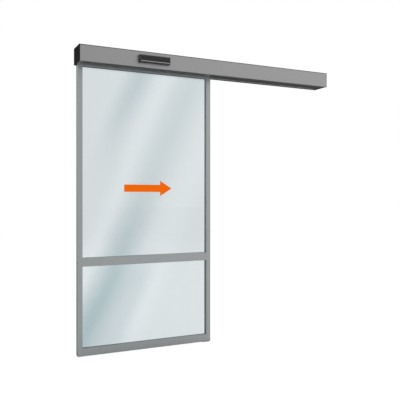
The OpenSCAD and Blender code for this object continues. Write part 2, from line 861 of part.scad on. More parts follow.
module cover_section() {
    lip_end = leaf_front - cover_gap;
    difference() {
        union() {
            translate([hinge_y, hinge_z]) circle(r = hook_r);
            rect([front, under + cover_r], [front + cover_t, hinge_z]);
            translate([front + cover_r, under + cover_r]) circle(r = cover_r);
            rect([front + cover_r, under], [lip_end, under + cover_t]);
            rect([lip_end - cover_t, under], [lip_end, under + cover_upturn]);
            for (z = cover_rib_z)
                rect([front + 1, z], [front + cover_t + 3, z + 2]);
        }
        translate([hinge_y, hinge_z]) {
            circle(r = hinge_bead_r + pass_gap);
            fan(hook_out, hook_mouth[0], hook_mouth[1]);
            ring_sector(hook_r, hook_out + 0.01, hook_mouth[1] - 1, seal_end);
        }
        corner_in = cover_r - cover_t;
        translate([front + cover_r, under + cover_r]) circle(r = corner_in);
        rect([front + cover_t, under + cover_r], [front + 2 * cover_r + 1, under + 2 * cover_r + 1]);
        rect([front + cover_r, under + cover_t], [front + 2 * cover_r + 1, under + 2 * cover_r + 1]);
    }
}

module front_cover() {
    color([0.62, 0.63, 0.64])
        difference() {
            along_x(inner_left + cover_end_gap, inner_right - cover_end_gap) cover_section();
            rod_y(front - 1, front + cover_t + 1, sensor_mid_x, sensor_mid_z, sensor_cable_d);
        }
}

// Black rubber strip in the top edge of the cover, in front of the hook's mouth
module cover_seal() {
    color([0.06, 0.06, 0.06]) along_x(inner_left + cover_end_gap, inner_right - cover_end_gap)
        translate([hinge_y, hinge_z])
            ring_sector(hook_r + fixed_fit, hook_out, hook_mouth[1] + 1, seal_end - 0.5);
}

// Spring clips on the cover's lip, which grip the pegs of the end caps
module cover_clips() {
    clip_l = 10;
    arm = 1.2;
    play = 1;
    z0 = peg_z - peg_d / 2 - play - arm;
    z1 = peg_z + peg_d / 2 + play + arm;
    color("silver") for (side = [-1, 1]) {
        x0 = side < 0 ? inner_left + 2 : inner_right - 2 - clip_l;
        along_x(x0, x0 + clip_l) {
            rect([peg_y - peg_d / 2 - play - arm, z0], [peg_y + peg_d, z0 + arm]);
            rect([peg_y - peg_d / 2 - play - arm, z1 - arm], [peg_y + peg_d, z1]);
            rect([peg_y - peg_d / 2 - play - arm, under + cover_t], [peg_y - peg_d / 2 - play, z1]);
            rect([peg_y - peg_d / 2 - play - 8, under + cover_t],
                 [peg_y - peg_d / 2 - play, under + cover_t + arm]);
        }
    }
}

sensor_mid_x = left + sensor_x;
sensor_mid_z = under + sensor_z;
sensor_cable_d = 12;

// Outer form of the sensor, drawn in by a given amount
module sensor_form(in) {
    w = sensor_w / 2 - in;
    h = sensor_h / 2 - in;
    d = sensor_d - in;
    intersection() {
        along_x(sensor_mid_x - w, sensor_mid_x + w)
            sensor_side(h, d, sensor_r - in);
        along_z(sensor_mid_z - h, sensor_mid_z + h)
            sensor_plan(w, d, sensor_r - in);
    }
}

// Side view of the sensor: its front edges are round
module sensor_side(h, d, r) {
    rect([front - d + r, sensor_mid_z - h], [front, sensor_mid_z + h]);
    rect([front - d, sensor_mid_z - h + r], [front - d + r, sensor_mid_z + h - r]);
    for (z = [sensor_mid_z - h + r, sensor_mid_z + h - r])
        translate([front - d + r, z]) circle(r = r);
}

// Plan of the sensor: its front corners are round
module sensor_plan(w, d, r) {
    rect([sensor_mid_x - w, front - d + r], [sensor_mid_x + w, front]);
    rect([sensor_mid_x - w + r, front - d], [sensor_mid_x + w - r, front - d + r]);
    for (x = [sensor_mid_x - w + r, sensor_mid_x + w - r])
        translate([x, front - d + r]) circle(r = r);
}

// The window and the bright line lie in the flat part of the sensor's face
lens_rim = 1.5;
face_x = sensor_w / 2 - sensor_r - lens_rim - 0.5;
line_z = sensor_mid_z - sensor_h / 2 + trim_z;
window_z0 = line_z + trim_h / 2 + 1.5;
window_z1 = sensor_mid_z + sensor_h / 2 - sensor_r - lens_rim - 0.5;

// A plate in the sensor's face; play makes it smaller, and sunk sets it back
module face_plate(z0, z1, play, sunk) {
    block([sensor_mid_x - face_x + play, front - sensor_d + sunk, z0 + play],
          [sensor_mid_x + face_x - play, front - sensor_d + sensor_t + 1, z1 - play]);
}

module sensor_housing() {
    color([0.22, 0.22, 0.23]) difference() {
        sensor_form(0);
        difference() {
            sensor_form(sensor_t);
            block([sensor_mid_x - sensor_w, front - 2, sensor_mid_z - sensor_h],
                  [sensor_mid_x + sensor_w, front + 1, sensor_mid_z + sensor_h]);
        }
        face_plate(window_z0, window_z1, 0, -1);
        face_plate(line_z - trim_h / 2, line_z + trim_h / 2, 0, -1);
        rod_y(front - 3, front + 1, sensor_mid_x, sensor_mid_z, sensor_cable_d);
    }
}

// The dark window, with a rim behind the housing's face
module sensor_lens() {
    color([0.12, 0.12, 0.13]) {
        face_plate(window_z0, window_z1, fixed_fit, 0.4);
        block([sensor_mid_x - face_x - lens_rim, front - sensor_d + sensor_t + fixed_fit, window_z0 - 0.5],
              [sensor_mid_x + face_x + lens_rim, front - sensor_d + sensor_t + 2, window_z1 + lens_rim]);
    }
}

// Bright line under the window, with a rib behind the housing's face
module sensor_trim() {
    color("silver") {
        face_plate(line_z - trim_h / 2, line_z + trim_h / 2, fixed_fit, -0.3);
        block([sensor_mid_x - face_x - 1, front - sensor_d + sensor_t + fixed_fit, line_z - trim_h / 2 - 1],
              [sensor_mid_x + face_x + 1, front - sensor_d + sensor_t + 2, line_z + trim_h / 2 + 0.5]);
    }
}

module sensor_board() {
    half = sensor_w / 2 - 14;
    color("darkgreen") {
        block([sensor_mid_x - half, front - 10, sensor_mid_z - sensor_h / 2 + 8],
              [sensor_mid_x + half, front - 8, sensor_mid_z + sensor_h / 2 - 8]);
        for (s = [-1, 1])
            rod_y(front - 8.5, front - 2, sensor_mid_x + s * (half - 8), sensor_mid_z, 6);
        block([sensor_mid_x - 26, front - 17, sensor_mid_z - 6],
              [sensor_mid_x + 26, front - 9, sensor_mid_z + 15]);
    }
}

// LEAF

// Half of the channel and its hollow lips, for one edge of a profile; the edge is at v = 0
module channel_edge(u0) {
    rect([u0 - channel_w / 2, -channel_d], [u0 + channel_w / 2, 1]);
    for (s = [-1, 1]) {
        inner = u0 + s * (channel_w / 2 + profile_t);
        outer = u0 + s * (leaf_t / 2 - profile_t);
        rect([min(inner, outer), -channel_d], [max(inner, outer), -profile_t]);
    }
}

// Section of a stile in X and Y, with its outer edge at x = 0 and the channel towards +X;
// groove says whether its outer edge holds a seal
module stile_section(groove) {
    chamber = stile_w - channel_d - web;
    wall = 1.6;
    difference() {
        union() {
            difference() {
                round_rect([0, -leaf_t / 2], [stile_w, leaf_t / 2], profile_r);
                rect([profile_t, -leaf_t / 2 + profile_t], [chamber, leaf_t / 2 - profile_t]);
                translate([stile_w, 0]) rotate(-90) channel_edge(0);
            }
            if (groove)
                rect([0, -seal_w / 2 - wall], [seal_groove + wall, seal_w / 2 + wall]);
        }
        if (groove)
            rect([-1, -seal_w / 2], [seal_groove, seal_w / 2]);
    }
}

seal_w = 7;
seal_groove = 4;
screw_d = 5;
screw_port_t = 2;
screw_reach = 28;
screw_rows = [-1, 1] * (leaf_t / 2 - profile_t - screw_d / 2 - screw_port_t - 0.8);

// The stiles stand on the notched ends of the bottom rail
foot_z = leaf_bottom + groove_d + web;

// Heights of the corner screws: two in each rail
screw_z = [foot_z + 7, leaf_top - 8, mid_rail_bottom + mid_rail_h / 2];

module stile(side) {
    x0 = side < 0 ? leaf_x0 : leaf_x1;
    color([0.66, 0.67, 0.68]) difference() {
        along_z(foot_z, leaf_top)
            translate([x0, leaf_mid]) mirror([side > 0 ? 1 : 0, 0]) stile_section(side < 0);
        for (z = screw_z, y = screw_rows) {
            rod_x(x0 - stile_w - 1, x0 + stile_w + 1, leaf_mid + y, z, screw_d + 2 * turn_fit);
            rod_x(x0 - profile_t - 1, x0 + profile_t + 1, leaf_mid + y, z, screw_d + 5);
        }
    }
}

// A hollow rail between the stiles; down and up say which edges hold glass
module rail(z0, z1, down, up) {
    difference() {
        round_rect([leaf_front, z0], [leaf_rear, z1], profile_r);
        if (up)
            translate([0, z1]) channel_edge(leaf_mid);
        if (down)
            translate([0, z0]) mirror([0, 1]) channel_edge(leaf_mid);
        children();
    }
}

// A round screw port on a rail's middle line
module rail_ports(z) {
    for (y = screw_rows)
        translate([leaf_mid + y, z]) difference() {
            circle(d = screw_d + 2 * screw_port_t);
            circle(d = screw_d + 2 * fixed_fit);
        }
}

hanger_flats = 13;
t_slot_w = hanger_flats + 2;
t_slot_lip = 3;
t_slot_mouth = hanger_d + 1;

module top_rail() {
    z0 = top_rail_bottom;
    floor_t = z0 + channel_d + web;
    z_port = screw_z[1];
    color([0.64, 0.65, 0.66]) along_x(rail_x0, rail_x1) {
        rail(z0, leaf_top, true, false) {
            rect([leaf_mid - t_slot_w / 2, floor_t], [leaf_mid + t_slot_w / 2, leaf_top - t_slot_lip]);
            rect([leaf_mid - t_slot_mouth / 2, floor_t], [leaf_mid + t_slot_mouth / 2, leaf_top + 1]);
            for (s = [-1, 1]) {
                a = leaf_mid + s * (t_slot_w / 2 + profile_t);
                b = leaf_mid + s * (leaf_t / 2 - profile_t);
                rect([min(a, b), floor_t], [max(a, b), leaf_top - profile_t]);
            }
        }
        rail_ports(z_port);
    }
}

module mid_rail() {
    z0 = mid_rail_bottom + channel_d + web;
    z1 = mid_rail_top - channel_d - web;
    color([0.66, 0.67, 0.68]) along_x(rail_x0, rail_x1) {
        rail(mid_rail_bottom, mid_rail_top, true, true)
            rect([leaf_front + profile_t, z0], [leaf_rear - profile_t, z1]);
        rail_ports(screw_z[2]);
        rect([leaf_front + 1, screw_z[2] - 1], [leaf_mid + screw_rows[0] - screw_d / 2 - 1, screw_z[2] + 1]);
        rect([leaf_mid + screw_rows[1] + screw_d / 2 + 1, screw_z[2] - 1], [leaf_rear - 1, screw_z[2] + 1]);
    }
}

brush_w = 5;
brush_off = leaf_t / 2 - profile_t - 0.3 - brush_w / 2;
brush_rise = 7;
brush_drop = 4;

// Section of the bottom rail: the guide groove between two chambers, and the brushes' slots
module bottom_section() {
    z1 = bottom_rail_top - channel_d - web;
    cell_in = groove_w / 2 + profile_t;
    cell_out = leaf_t / 2 - profile_t;
    rail(leaf_bottom, bottom_rail_top, false, true) {
        rect([leaf_front + profile_t, foot_z], [leaf_rear - profile_t, z1]);
        rect([leaf_mid - groove_w / 2, leaf_bottom - 1], [leaf_mid + groove_w / 2, leaf_bottom + groove_d]);
        for (s = [-1, 1]) {
            rect([leaf_mid + s * brush_off - brush_w / 2, leaf_bottom - 1],
                 [leaf_mid + s * brush_off + brush_w / 2, leaf_bottom + brush_rise]);
            rect([leaf_mid + min(s * cell_in, s * cell_out), leaf_bottom + brush_rise + profile_t],
                 [leaf_mid + max(s * cell_in, s * cell_out), leaf_bottom + groove_d]);
        }
    }
    rail_ports(screw_z[0]);
    for (y = screw_rows)
        rect([leaf_mid + y - 1, foot_z - 0.5], [leaf_mid + y + 1, screw_z[0] - screw_d / 2 - 1]);
}

module bottom_rail() {
    color([0.66, 0.67, 0.68]) difference() {
        along_x(leaf_x0, leaf_x1) bottom_section();
        for (x = [leaf_x0 - 1, rail_x1])
            block([x, leaf_front - 1, foot_z], [x + stile_w + 1, leaf_rear + 1, bottom_rail_top + 1]);
    }
}

// One laminated pane between two heights
module pane(z0, z1) {
    block([rail_x0 - glass_bite, leaf_mid - glass_t / 2, z0 - glass_bite],
          [rail_x1 + glass_bite, leaf_mid + glass_t / 2, z1 + glass_bite]);
}

module glass_upper() {
    color([0.8, 0.87, 0.88, 0.5]) pane(mid_rail_top, top_rail_bottom);
}

module glass_lower() {
    color([0.8, 0.87, 0.88, 0.5]) pane(bottom_rail_top, mid_rail_bottom);
}

// Front and rear gasket frames of one pane
module gaskets(z0, z1) {
    deep = glass_bite - 2;
    color([0.08, 0.08, 0.08]) for (s = [-1, 1]) {
        a = leaf_mid + s * glass_t / 2;
        b = leaf_mid + s * (glass_t / 2 + gasket_t);
        along_y(min(a, b), max(a, b)) difference() {
            rect([rail_x0 - deep, z0 - deep], [rail_x1 + deep, z1 + deep]);
            rect([rail_x0 + gasket_lip, z0 + gasket_lip], [rail_x1 - gasket_lip, z1 - gasket_lip]);
        }
    }
}

module gaskets_upper() {
    gaskets(mid_rail_top, top_rail_bottom);
}

module gaskets_lower() {
    gaskets(bottom_rail_top, mid_rail_bottom);
}

// Blocks under each pane that stand on the floor of the channel
module setting_blocks() {
    block_l = 80;
    color("black") for (z = [mid_rail_top, bottom_rail_top], f = [0.15, 0.85]) {
        x = rail_x0 + f * (rail_x1 - rail_x0);
        block([x - block_l / 2, leaf_mid - glass_t / 2, z - channel_d],
              [x + block_l / 2, leaf_mid + glass_t / 2, z - glass_bite]);
    }
}

module slide_arrow() {
    x0 = leaf_x0 + arrow_x;
    neck = arrow_l - arrow_head_l;
    color([0.94, 0.39, 0]) along_y(leaf_mid - glass_t / 2 - arrow_t, leaf_mid - glass_t / 2)
        translate([x0, leaf_bottom + arrow_z])
            polygon([[0, -arrow_shaft_h / 2], [neck, -arrow_shaft_h / 2], [neck, -arrow_head_h / 2],
                     [arrow_l, 0], [neck, arrow_head_h / 2], [neck, arrow_shaft_h / 2],
                     [0, arrow_shaft_h / 2]]);
}

// Rubber in the edge that meets the door post, with a low round nose
module closing_seal() {
    nose = 3;
    color([0.08, 0.08, 0.08]) along_z(foot_z + 2, leaf_top - 2)
        translate([leaf_x0, leaf_mid]) {
            rect([0, -seal_w / 2 + fixed_fit], [seal_groove, seal_w / 2 - fixed_fit]);
            difference() {
                translate([0.5, 0]) circle(r = nose);
                rect([0.5, -nose - 1], [nose + 2, nose + 1]);
            }
        }
}

module bottom_brush() {
    color([0.1, 0.1, 0.1]) for (s = [-1, 1])
        block([leaf_x0 + 1, leaf_mid + s * brush_off - brush_w / 2 + fixed_fit, leaf_bottom - brush_drop],
              [leaf_x1 - 1, leaf_mid + s * brush_off + brush_w / 2 - fixed_fit, leaf_bottom + brush_rise]);
}

// Screws through the stiles into the rails' ports
module corner_screws() {
    web_in = stile_w - channel_d - web;
    color("silver") for (side = [-1, 1], z = screw_z, y = screw_rows) {
        x = side < 0 ? leaf_x0 + web_in : leaf_x1 - web_in;
        end = side < 0 ? rail_x0 + screw_reach : rail_x1 - screw_reach;
        rod_x(min(x, end), max(x, end), leaf_mid + y, z, screw_d);
        rod_x(side < 0 ? x - 4 : x, side < 0 ? x : x + 4, leaf_mid + y, z, screw_d + 4);
    }
}

// CARRIAGES

// Bolts whose heads slide in the top rail, with a nut on each side of the carriage foot
module hanger_bolts() {
    color("lightgray") for (c = carriage_x, s = [-1, 1]) {
        x = c + s * hanger_off;
        head = leaf_top - t_slot_lip;
        hex_z(head - 5, head, x, leaf_mid, hanger_flats);
        rod_z(head - 1, foot_top + 8, x, leaf_mid, hanger_d);
        hex_z(leaf_top, foot_bottom, x, leaf_mid, hanger_flats);
        hex_z(foot_top, foot_top + 5, x, leaf_mid, hanger_flats);
    }
}

// Carriage: a plate and its foot, with a window between the axle holes
module carriage(c) {
    color("silver") difference() {
        union() {
            along_y(plate_front, plate_rear) {
                round_rect([c - carriage_l / 2, foot_bottom], [c + carriage_l / 2, plate_top], 8);
                rect([c - carriage_l / 2, foot_bottom], [c + carriage_l / 2, foot_top + 8]);
            }
            along_z(foot_bottom, foot_top) {
                round_rect([c - carriage_l / 2, plate_front], [c + carriage_l / 2, leaf_mid + 15], 4);
                rect([c - carriage_l / 2, plate_front], [c + carriage_l / 2, plate_rear]);
            }
        }
        along_y(plate_front - 1, plate_rear + 1)
            round_rect([c - window_w / 2, wheel_z - window_h / 2], [c + window_w / 2, wheel_z + window_h / 2],
                       window_h / 2 - 0.5);
        for (s = [-1, 1]) {
            rod_y(plate_front - 1, plate_rear + 1, c + s * wheel_base / 2, wheel_z, axle_d + 2 * fixed_fit);
            rod_z(foot_bottom - 1, foot_top + 1, c + s * hanger_off, leaf_mid, hanger_d + 2 * turn_fit);
        }
        rod_y(plate_front - 1, plate_rear + 1, c, lift_z, axle_d + 2 * fixed_fit);
    }
}

// An axle with its head in front of the plate, a shoulder, and a ring behind the wheel
module axle(x, z) {
    w0 = leaf_mid - wheel_w / 2;
    w1 = leaf_mid + wheel_w / 2;
    hex_y(plate_front - 4, plate_front, x, z, 11);
    rod_y(plate_front - 1, w1 + 4, x, z, axle_d);
    rod_y(plate_rear, w0 - pass_gap, x, z, axle_d + 4);
    rod_y(w1 + pass_gap, w1 + 2.5, x, z, axle_d + 4);
}

module axles() {
    color("gray") {
        for (x = wheel_x)
            axle(x, wheel_z);
        for (c = carriage_x)
            axle(c, lift_z);
    }
}

// A grooved wheel: tyre and ball bearing, turned about its axle
module wheel(x) {
    color([0.9, 0.9, 0.87]) translate([x, leaf_mid, wheel_z]) rotate([90, 0, 0])
        rotate_extrude() difference() {
            rect([axle_d / 2 + turn_fit, -wheel_w / 2], [flange_r, wheel_w / 2]);
            translate([flange_r, 0]) circle(r = bead_r + pass_gap);
            bearing_faces(wheel_w, 11);
        }
}

// Shallow rings in both faces, between the two rings of a ball bearing
module bearing_faces(w, r) {
    for (s = [-1, 1])
        rect([axle_d / 2 + 2, s * w / 2 - 0.6], [r - 2, s * w / 2 + 0.6]);
}

module lift_roller(c) {
    color([0.9, 0.9, 0.87]) translate([c, leaf_mid, lift_z]) rotate([90, 0, 0])
        rotate_extrude() difference() {
            rect([axle_d / 2 + turn_fit, -wheel_w / 2], [lift_roller_r, wheel_w / 2]);
            for (s = [-1, 1])
                translate([lift_roller_r, s * wheel_w / 2]) rotate(45) square(1.4, center = true);
        }
}

// BELT CLAMP

clamp_y0 = belt_y0 - 2;
clamp_y1 = belt_y1 + 8;
clamp_root = belt_z - root_r;
clamp_top = clamp_root + 13;
clamp_screw_y = belt_y1 + 4.5;
clamp_screw_x = [clamp_x - 16, clamp_x + 16];
clamp_plate_t = 6;

module clamp_upper() {
    x0 = clamp_x - clamp_l / 2;
    x1 = clamp_x + clamp_l / 2;
    first = floor((x0 - idler_x) / belt_pitch) - 1;
    last = ceil((x1 - idler_x) / belt_pitch) + 1;
    arm_z = lift_z + axle_d;
    color("steelblue") difference() {
        union() {
            block([x0, clamp_y0, clamp_root + tooth_play], [x1, clamp_y1, clamp_top]);
            block([x0, clamp_y0, arm_z], [x1, plate_front, clamp_top]);
            block([x0, plate_front - 4, arm_z], [x1, plate_front, clamp_top + 18]);
        }
        along_y(clamp_y0 - 1, belt_y1 + 1)
            for (i = [first : last])
                translate([idler_x + (i + 0.5) * belt_pitch, clamp_root]) mirror([0, 1])
                    polygon(tooth_outline(tooth_play));
        for (x = clamp_screw_x)
            rod_z(clamp_root - 1, clamp_top + 1, x, clamp_screw_y, 4.5);
    }
}

module clamp_lower() {
    x0 = clamp_x - clamp_l / 2;
    x1 = clamp_x + clamp_l / 2;
    z1 = belt_z - back_r - tooth_play;
    color("steelblue") difference() {
        union() {
            block([x0, clamp_y0, z1 - clamp_plate_t], [x1, clamp_y1 - 1, z1]);
            block([x0, belt_y1 + 1, z1 - 1], [x1, clamp_y1 - 1, clamp_root]);
        }
        for (x = clamp_screw_x)
            rod_z(z1 - clamp_plate_t - 1, clamp_root + 1, x, clamp_screw_y, 4.5);
    }
}

module clamp_screws() {
    z0 = belt_z - back_r - tooth_play - clamp_plate_t;
    color("lightgray") for (x = clamp_screw_x) {
        rod_z(z0 - 3, clamp_top + 1, x, clamp_screw_y, 4);
        rod_z(z0 - 3, z0, x, clamp_screw_y, 7);
        rod_z(clamp_top, clamp_top + 3, x, clamp_screw_y, 7);
    }
}

carrier_profile();
end_cap(-1);  // end_cap_left
end_cap(1);  // end_cap_right
cap_screws();
rail_damper();
running_rail();
stop_brackets();
buffers();
motor();
gearbox();
motor_bracket();
control_unit();
power_supply();
battery_pack();
idler_bracket();
idler_axle();
tension_screw();
slot_bolts();
toothed_belt();
cable_grommet();
floor_plate();
guide_block();
front_cover();
cover_seal();
cover_clips();
sensor_housing();
sensor_lens();
sensor_trim();
sensor_board();
stile(-1);  // stile_left
stile(1);  // stile_right
top_rail();
mid_rail();
bottom_rail();
glass_upper();
glass_lower();
gaskets_upper();
gaskets_lower();
setting_blocks();
slide_arrow();
closing_seal();
bottom_brush();
corner_screws();
hanger_bolts();
carriage(carriage_x[0]);  // carriage_left
carriage(carriage_x[1]);  // carriage_right
axles();
clamp_upper();
clamp_lower();
clamp_screws();
wheel(wheel_x[0]);  // wheel_1
wheel(wheel_x[1]);  // wheel_2
wheel(wheel_x[2]);  // wheel_3
wheel(wheel_x[3]);  // wheel_4
lift_roller(carriage_x[0]);  // lift_roller_1
lift_roller(carriage_x[1]);  // lift_roller_2
drive_pulley();
drive_shaft();
idler_pulley();
idler_bearing();
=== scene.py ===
"""Finishes, small parts, light and camera of an automatic sliding door.

Lengths are in metres. The origin is the centre of the header's wall bolts on the wall plane,
+X is the way the leaf opens, +Y goes into the wall and +Z is up.
"""

import json
import math
import random

import bmesh
import bpy
from bpy.props import FloatProperty, FloatVectorProperty, PointerProperty
from bpy.types import Operator, Panel, PropertyGroup
from mathutils import Vector
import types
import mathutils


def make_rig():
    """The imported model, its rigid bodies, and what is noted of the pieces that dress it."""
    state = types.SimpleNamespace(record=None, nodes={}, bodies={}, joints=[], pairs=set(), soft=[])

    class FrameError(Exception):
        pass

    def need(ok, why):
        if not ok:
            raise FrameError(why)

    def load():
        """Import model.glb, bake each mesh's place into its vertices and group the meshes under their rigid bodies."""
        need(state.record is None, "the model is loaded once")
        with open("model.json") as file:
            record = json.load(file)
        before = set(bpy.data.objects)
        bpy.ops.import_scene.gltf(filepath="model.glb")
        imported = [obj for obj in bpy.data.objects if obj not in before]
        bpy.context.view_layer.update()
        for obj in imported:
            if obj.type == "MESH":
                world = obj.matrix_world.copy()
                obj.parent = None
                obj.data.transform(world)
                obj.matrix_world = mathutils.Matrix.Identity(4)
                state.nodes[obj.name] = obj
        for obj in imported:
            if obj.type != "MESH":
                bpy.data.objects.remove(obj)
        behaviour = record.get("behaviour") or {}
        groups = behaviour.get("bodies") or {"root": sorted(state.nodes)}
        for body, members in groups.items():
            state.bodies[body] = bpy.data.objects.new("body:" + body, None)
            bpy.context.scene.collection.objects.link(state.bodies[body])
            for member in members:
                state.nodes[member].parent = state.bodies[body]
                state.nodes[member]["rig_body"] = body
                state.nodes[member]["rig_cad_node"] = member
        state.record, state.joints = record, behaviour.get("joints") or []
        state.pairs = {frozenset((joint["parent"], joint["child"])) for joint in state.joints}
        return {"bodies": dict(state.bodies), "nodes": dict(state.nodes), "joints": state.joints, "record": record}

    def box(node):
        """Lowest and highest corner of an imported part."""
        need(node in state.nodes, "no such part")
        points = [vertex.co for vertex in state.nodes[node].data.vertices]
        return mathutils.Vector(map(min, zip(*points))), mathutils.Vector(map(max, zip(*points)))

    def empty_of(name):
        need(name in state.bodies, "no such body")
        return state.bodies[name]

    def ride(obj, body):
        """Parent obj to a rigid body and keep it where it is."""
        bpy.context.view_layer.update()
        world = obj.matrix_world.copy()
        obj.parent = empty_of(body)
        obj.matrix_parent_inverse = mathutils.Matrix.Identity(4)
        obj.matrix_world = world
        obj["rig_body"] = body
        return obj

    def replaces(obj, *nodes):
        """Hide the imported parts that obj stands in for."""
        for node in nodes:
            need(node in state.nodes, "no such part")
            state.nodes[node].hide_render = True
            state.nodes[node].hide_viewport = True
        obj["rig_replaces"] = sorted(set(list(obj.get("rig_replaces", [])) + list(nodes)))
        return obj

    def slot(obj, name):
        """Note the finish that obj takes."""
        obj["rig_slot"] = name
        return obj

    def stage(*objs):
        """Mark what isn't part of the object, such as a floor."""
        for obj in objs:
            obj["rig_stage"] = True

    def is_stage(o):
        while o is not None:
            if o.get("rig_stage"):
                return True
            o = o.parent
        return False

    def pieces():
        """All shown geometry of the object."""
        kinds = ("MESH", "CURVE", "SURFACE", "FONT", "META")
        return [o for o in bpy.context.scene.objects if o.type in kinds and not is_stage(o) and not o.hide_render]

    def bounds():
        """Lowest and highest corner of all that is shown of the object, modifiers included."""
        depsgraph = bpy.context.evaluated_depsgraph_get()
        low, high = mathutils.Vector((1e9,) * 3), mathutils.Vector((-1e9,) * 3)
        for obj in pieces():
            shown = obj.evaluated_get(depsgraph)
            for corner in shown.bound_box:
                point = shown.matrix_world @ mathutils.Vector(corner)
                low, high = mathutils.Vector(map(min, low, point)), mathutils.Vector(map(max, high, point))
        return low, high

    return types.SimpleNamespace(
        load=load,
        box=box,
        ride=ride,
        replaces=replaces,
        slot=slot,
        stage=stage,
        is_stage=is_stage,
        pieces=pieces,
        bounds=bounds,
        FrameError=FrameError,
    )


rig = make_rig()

bl_info = {
    "name": "Automatic Sliding Door",
    "version": (1, 0, 0),
    "blender": (4, 5, 0),
    "location": "3D View > Sidebar > Door",
    "description": "Finishes and small parts of an automatic sliding door",
    "category": "Object",
}

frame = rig.load()
CAD_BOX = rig.bounds()
FLOOR_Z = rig.box("floor_plate")[0].z
UP = (0.0, 0.0, 1.0)
DOWN = (0.0, 0.0, -1.0)
FORWARD = (0.0, -1.0, 0.0)


def linear(red, green, blue):
    """A colour given as a screen shows it, from 0 to 255, in linear light."""
    return tuple(((c / 255 + 0.055) / 1.055) ** 2.4 for c in (red, green, blue))


def colour(name, description, red, green, blue):
    """A colour setting whose default is given as a screen shows it."""
    return FloatVectorProperty(name=name, description=description, subtype="COLOR", size=3,
                               min=0.0, max=1.0, default=linear(red, green, blue))


def length(name, description, value):
    """A length setting in metres."""
    return FloatProperty(name=name, description=description, default=value, min=0.0, unit="LENGTH")


def share(name, description, value, most=1.0):
    """A setting without a unit."""
    return FloatProperty(name=name, description=description, default=value, min=0.0, max=most)


class DoorView(PropertyGroup):
    """Where the door is seen from"""

    place: FloatVectorProperty(name="Place", description="Where the camera stands", size=3,
                               subtype="TRANSLATION", default=(-2.0584, -4.0843, -1.0187))
    turn: FloatVectorProperty(name="Turn", description="Which way the camera looks", size=3,
                              subtype="EULER", default=(1.5696, 0.0, -0.45471))
    lens: FloatProperty(name="Lens", description="Focal length", default=51.07, unit="CAMERA")
    shift: FloatVectorProperty(name="Shift", description="Shift of the picture", size=2,
                               default=(0.0003, -0.0029))


class DoorStudio(PropertyGroup):
    """The light round the door"""

    paper: colour("Background", "Colour of the backdrop", 255, 255, 255)
    bright: share("Bright side", "Light from the front right", 1.42, 4.0)
    dim: share("Dim side", "Light from the back right and from above", 0.42, 4.0)
    glow: share("Second window", "Light that the back left adds", 0.6, 4.0)
    rear: share("Third window", "Light that the back right adds", 0.75, 4.0)
    side: share("Fourth window", "Light that the front left adds", 0.6, 4.0)
    floor_front: share("Floor in front", "How much light the floor gives back in front of the door", 0.84)
    floor_behind: share("Floor behind", "How much light the floor gives back behind the door", 0.03)
    floor_white: share("Floor white", "How far the floor is lifted to the backdrop", 0.85)
    key_power: share("Key light", "Power of the soft box at the front right, in watts", 50.0, 5000.0)
    top_power: share("Top light", "Power of the soft box above, in watts", 40.0, 5000.0)


class DoorFinishes(PropertyGroup):
    """Colours of the metal, plastic and rubber"""

    cover: colour("Cover", "Anodised aluminium of the header's cover", 145, 145, 146)
    profile: colour("Profiles", "Mill finish of the header's carrier", 172, 174, 177)
    leaf: colour("Leaf", "Anodised aluminium of the leaf", 152, 156, 157)
    cap: colour("Caps", "Black plastic of the end caps", 10, 10, 11)
    rubber: colour("Rubber", "Seals and buffers", 24, 24, 25)
    gasket: colour("Gasket", "Gaskets of the panes", 132, 134, 136)
    plated: colour("Plated steel", "Zinc-plated screws and brackets", 176, 178, 180)
    steel: colour("Steel", "Rail, axles and shafts", 160, 160, 160)
    cast: colour("Cast metal", "Gearbox housing", 158, 160, 163)
    roughness: share("Roughness", "Roughness of the anodised aluminium", 0.42)
    dust: share("Dust", "Dust on what faces up", 0.35)


class DoorGlass(PropertyGroup):
    """The panes and what is on them"""

    clear: colour("Glass", "Tint of the glass", 211, 219, 221)
    # The light and dark band tints paint reflections into the glass's colour: painted highlights and painted dark
    # reflections.
    sheen: colour("Light band", "Tint of the light bands", 219, 226, 229)
    shade: colour("Dark band", "Tint of the dark bands", 163, 182, 187)
    lean: FloatProperty(name="Lean", description="Angle of the bands from upright",
                        default=math.radians(24.5), unit="ROTATION")
    arrow: colour("Arrow", "Colour of the arrow", 227, 97, 0)
    head: length("Arrow head", "Length of the arrow's head", 0.094)
    shaft: length("Arrow shaft", "Height of the arrow's shaft", 0.054)


class DoorSensor(PropertyGroup):
    """The motion sensor"""

    housing: colour("Housing", "Plastic of the housing", 46, 46, 48)
    window: colour("Window", "Dark window", 26, 26, 28)
    line: colour("Line", "Bright line", 172, 173, 175)


class DoorFittings(PropertyGroup):
    """Screws, knobs and straps"""

    wall_head: length("Wall screws", "Radius of the washer under a wall screw", 0.0085)
    floor_head: length("Floor screws", "Radius of a floor screw's head", 0.005)
    case_head: length("Case screws", "Radius of a screw's head on the gearbox and the power supply", 0.0028)
    tie_head: length("Tie bolts", "Radius of a bolt's head on the motor", 0.003)
    terminal_head: length("Terminals", "Radius of a terminal screw's head", 0.0022)
    knob: length("Knobs", "Radius of the control unit's knobs", 0.007)
    strap: length("Straps", "Width of the battery's straps", 0.014)


class DoorBrushes(PropertyGroup):
    """The brushes under the leaf"""

    width: length("Width", "Width of a strip", 0.005)
    holder: length("Holder", "Height of a strip's holder", 0.0068)
    pitch: length("Pitch", "Distance between tufts", 0.0022)
    bristle: length("Bristle", "Thickness of one bristle", 0.0004)
    bend: length("Bend", "How far a tip stands out of line", 0.0011)


# Node helpers

def wire(tree, sockets, values):
    """Links each socket to the output given for it, or sets it to the value given for it."""
    for key, value in dict(values).items():
        if isinstance(value, bpy.types.NodeSocket):
            tree.links.new(value, sockets[key])
        else:
            sockets[key].default_value = value


def add(tree, kind, values=(), **settings):
    """A shader node with its settings and its input values or links."""
    node = tree.nodes.new("ShaderNode" + kind)
    for name, value in settings.items():
        setattr(node, name, value)
    wire(tree, node.inputs, values)
    return node


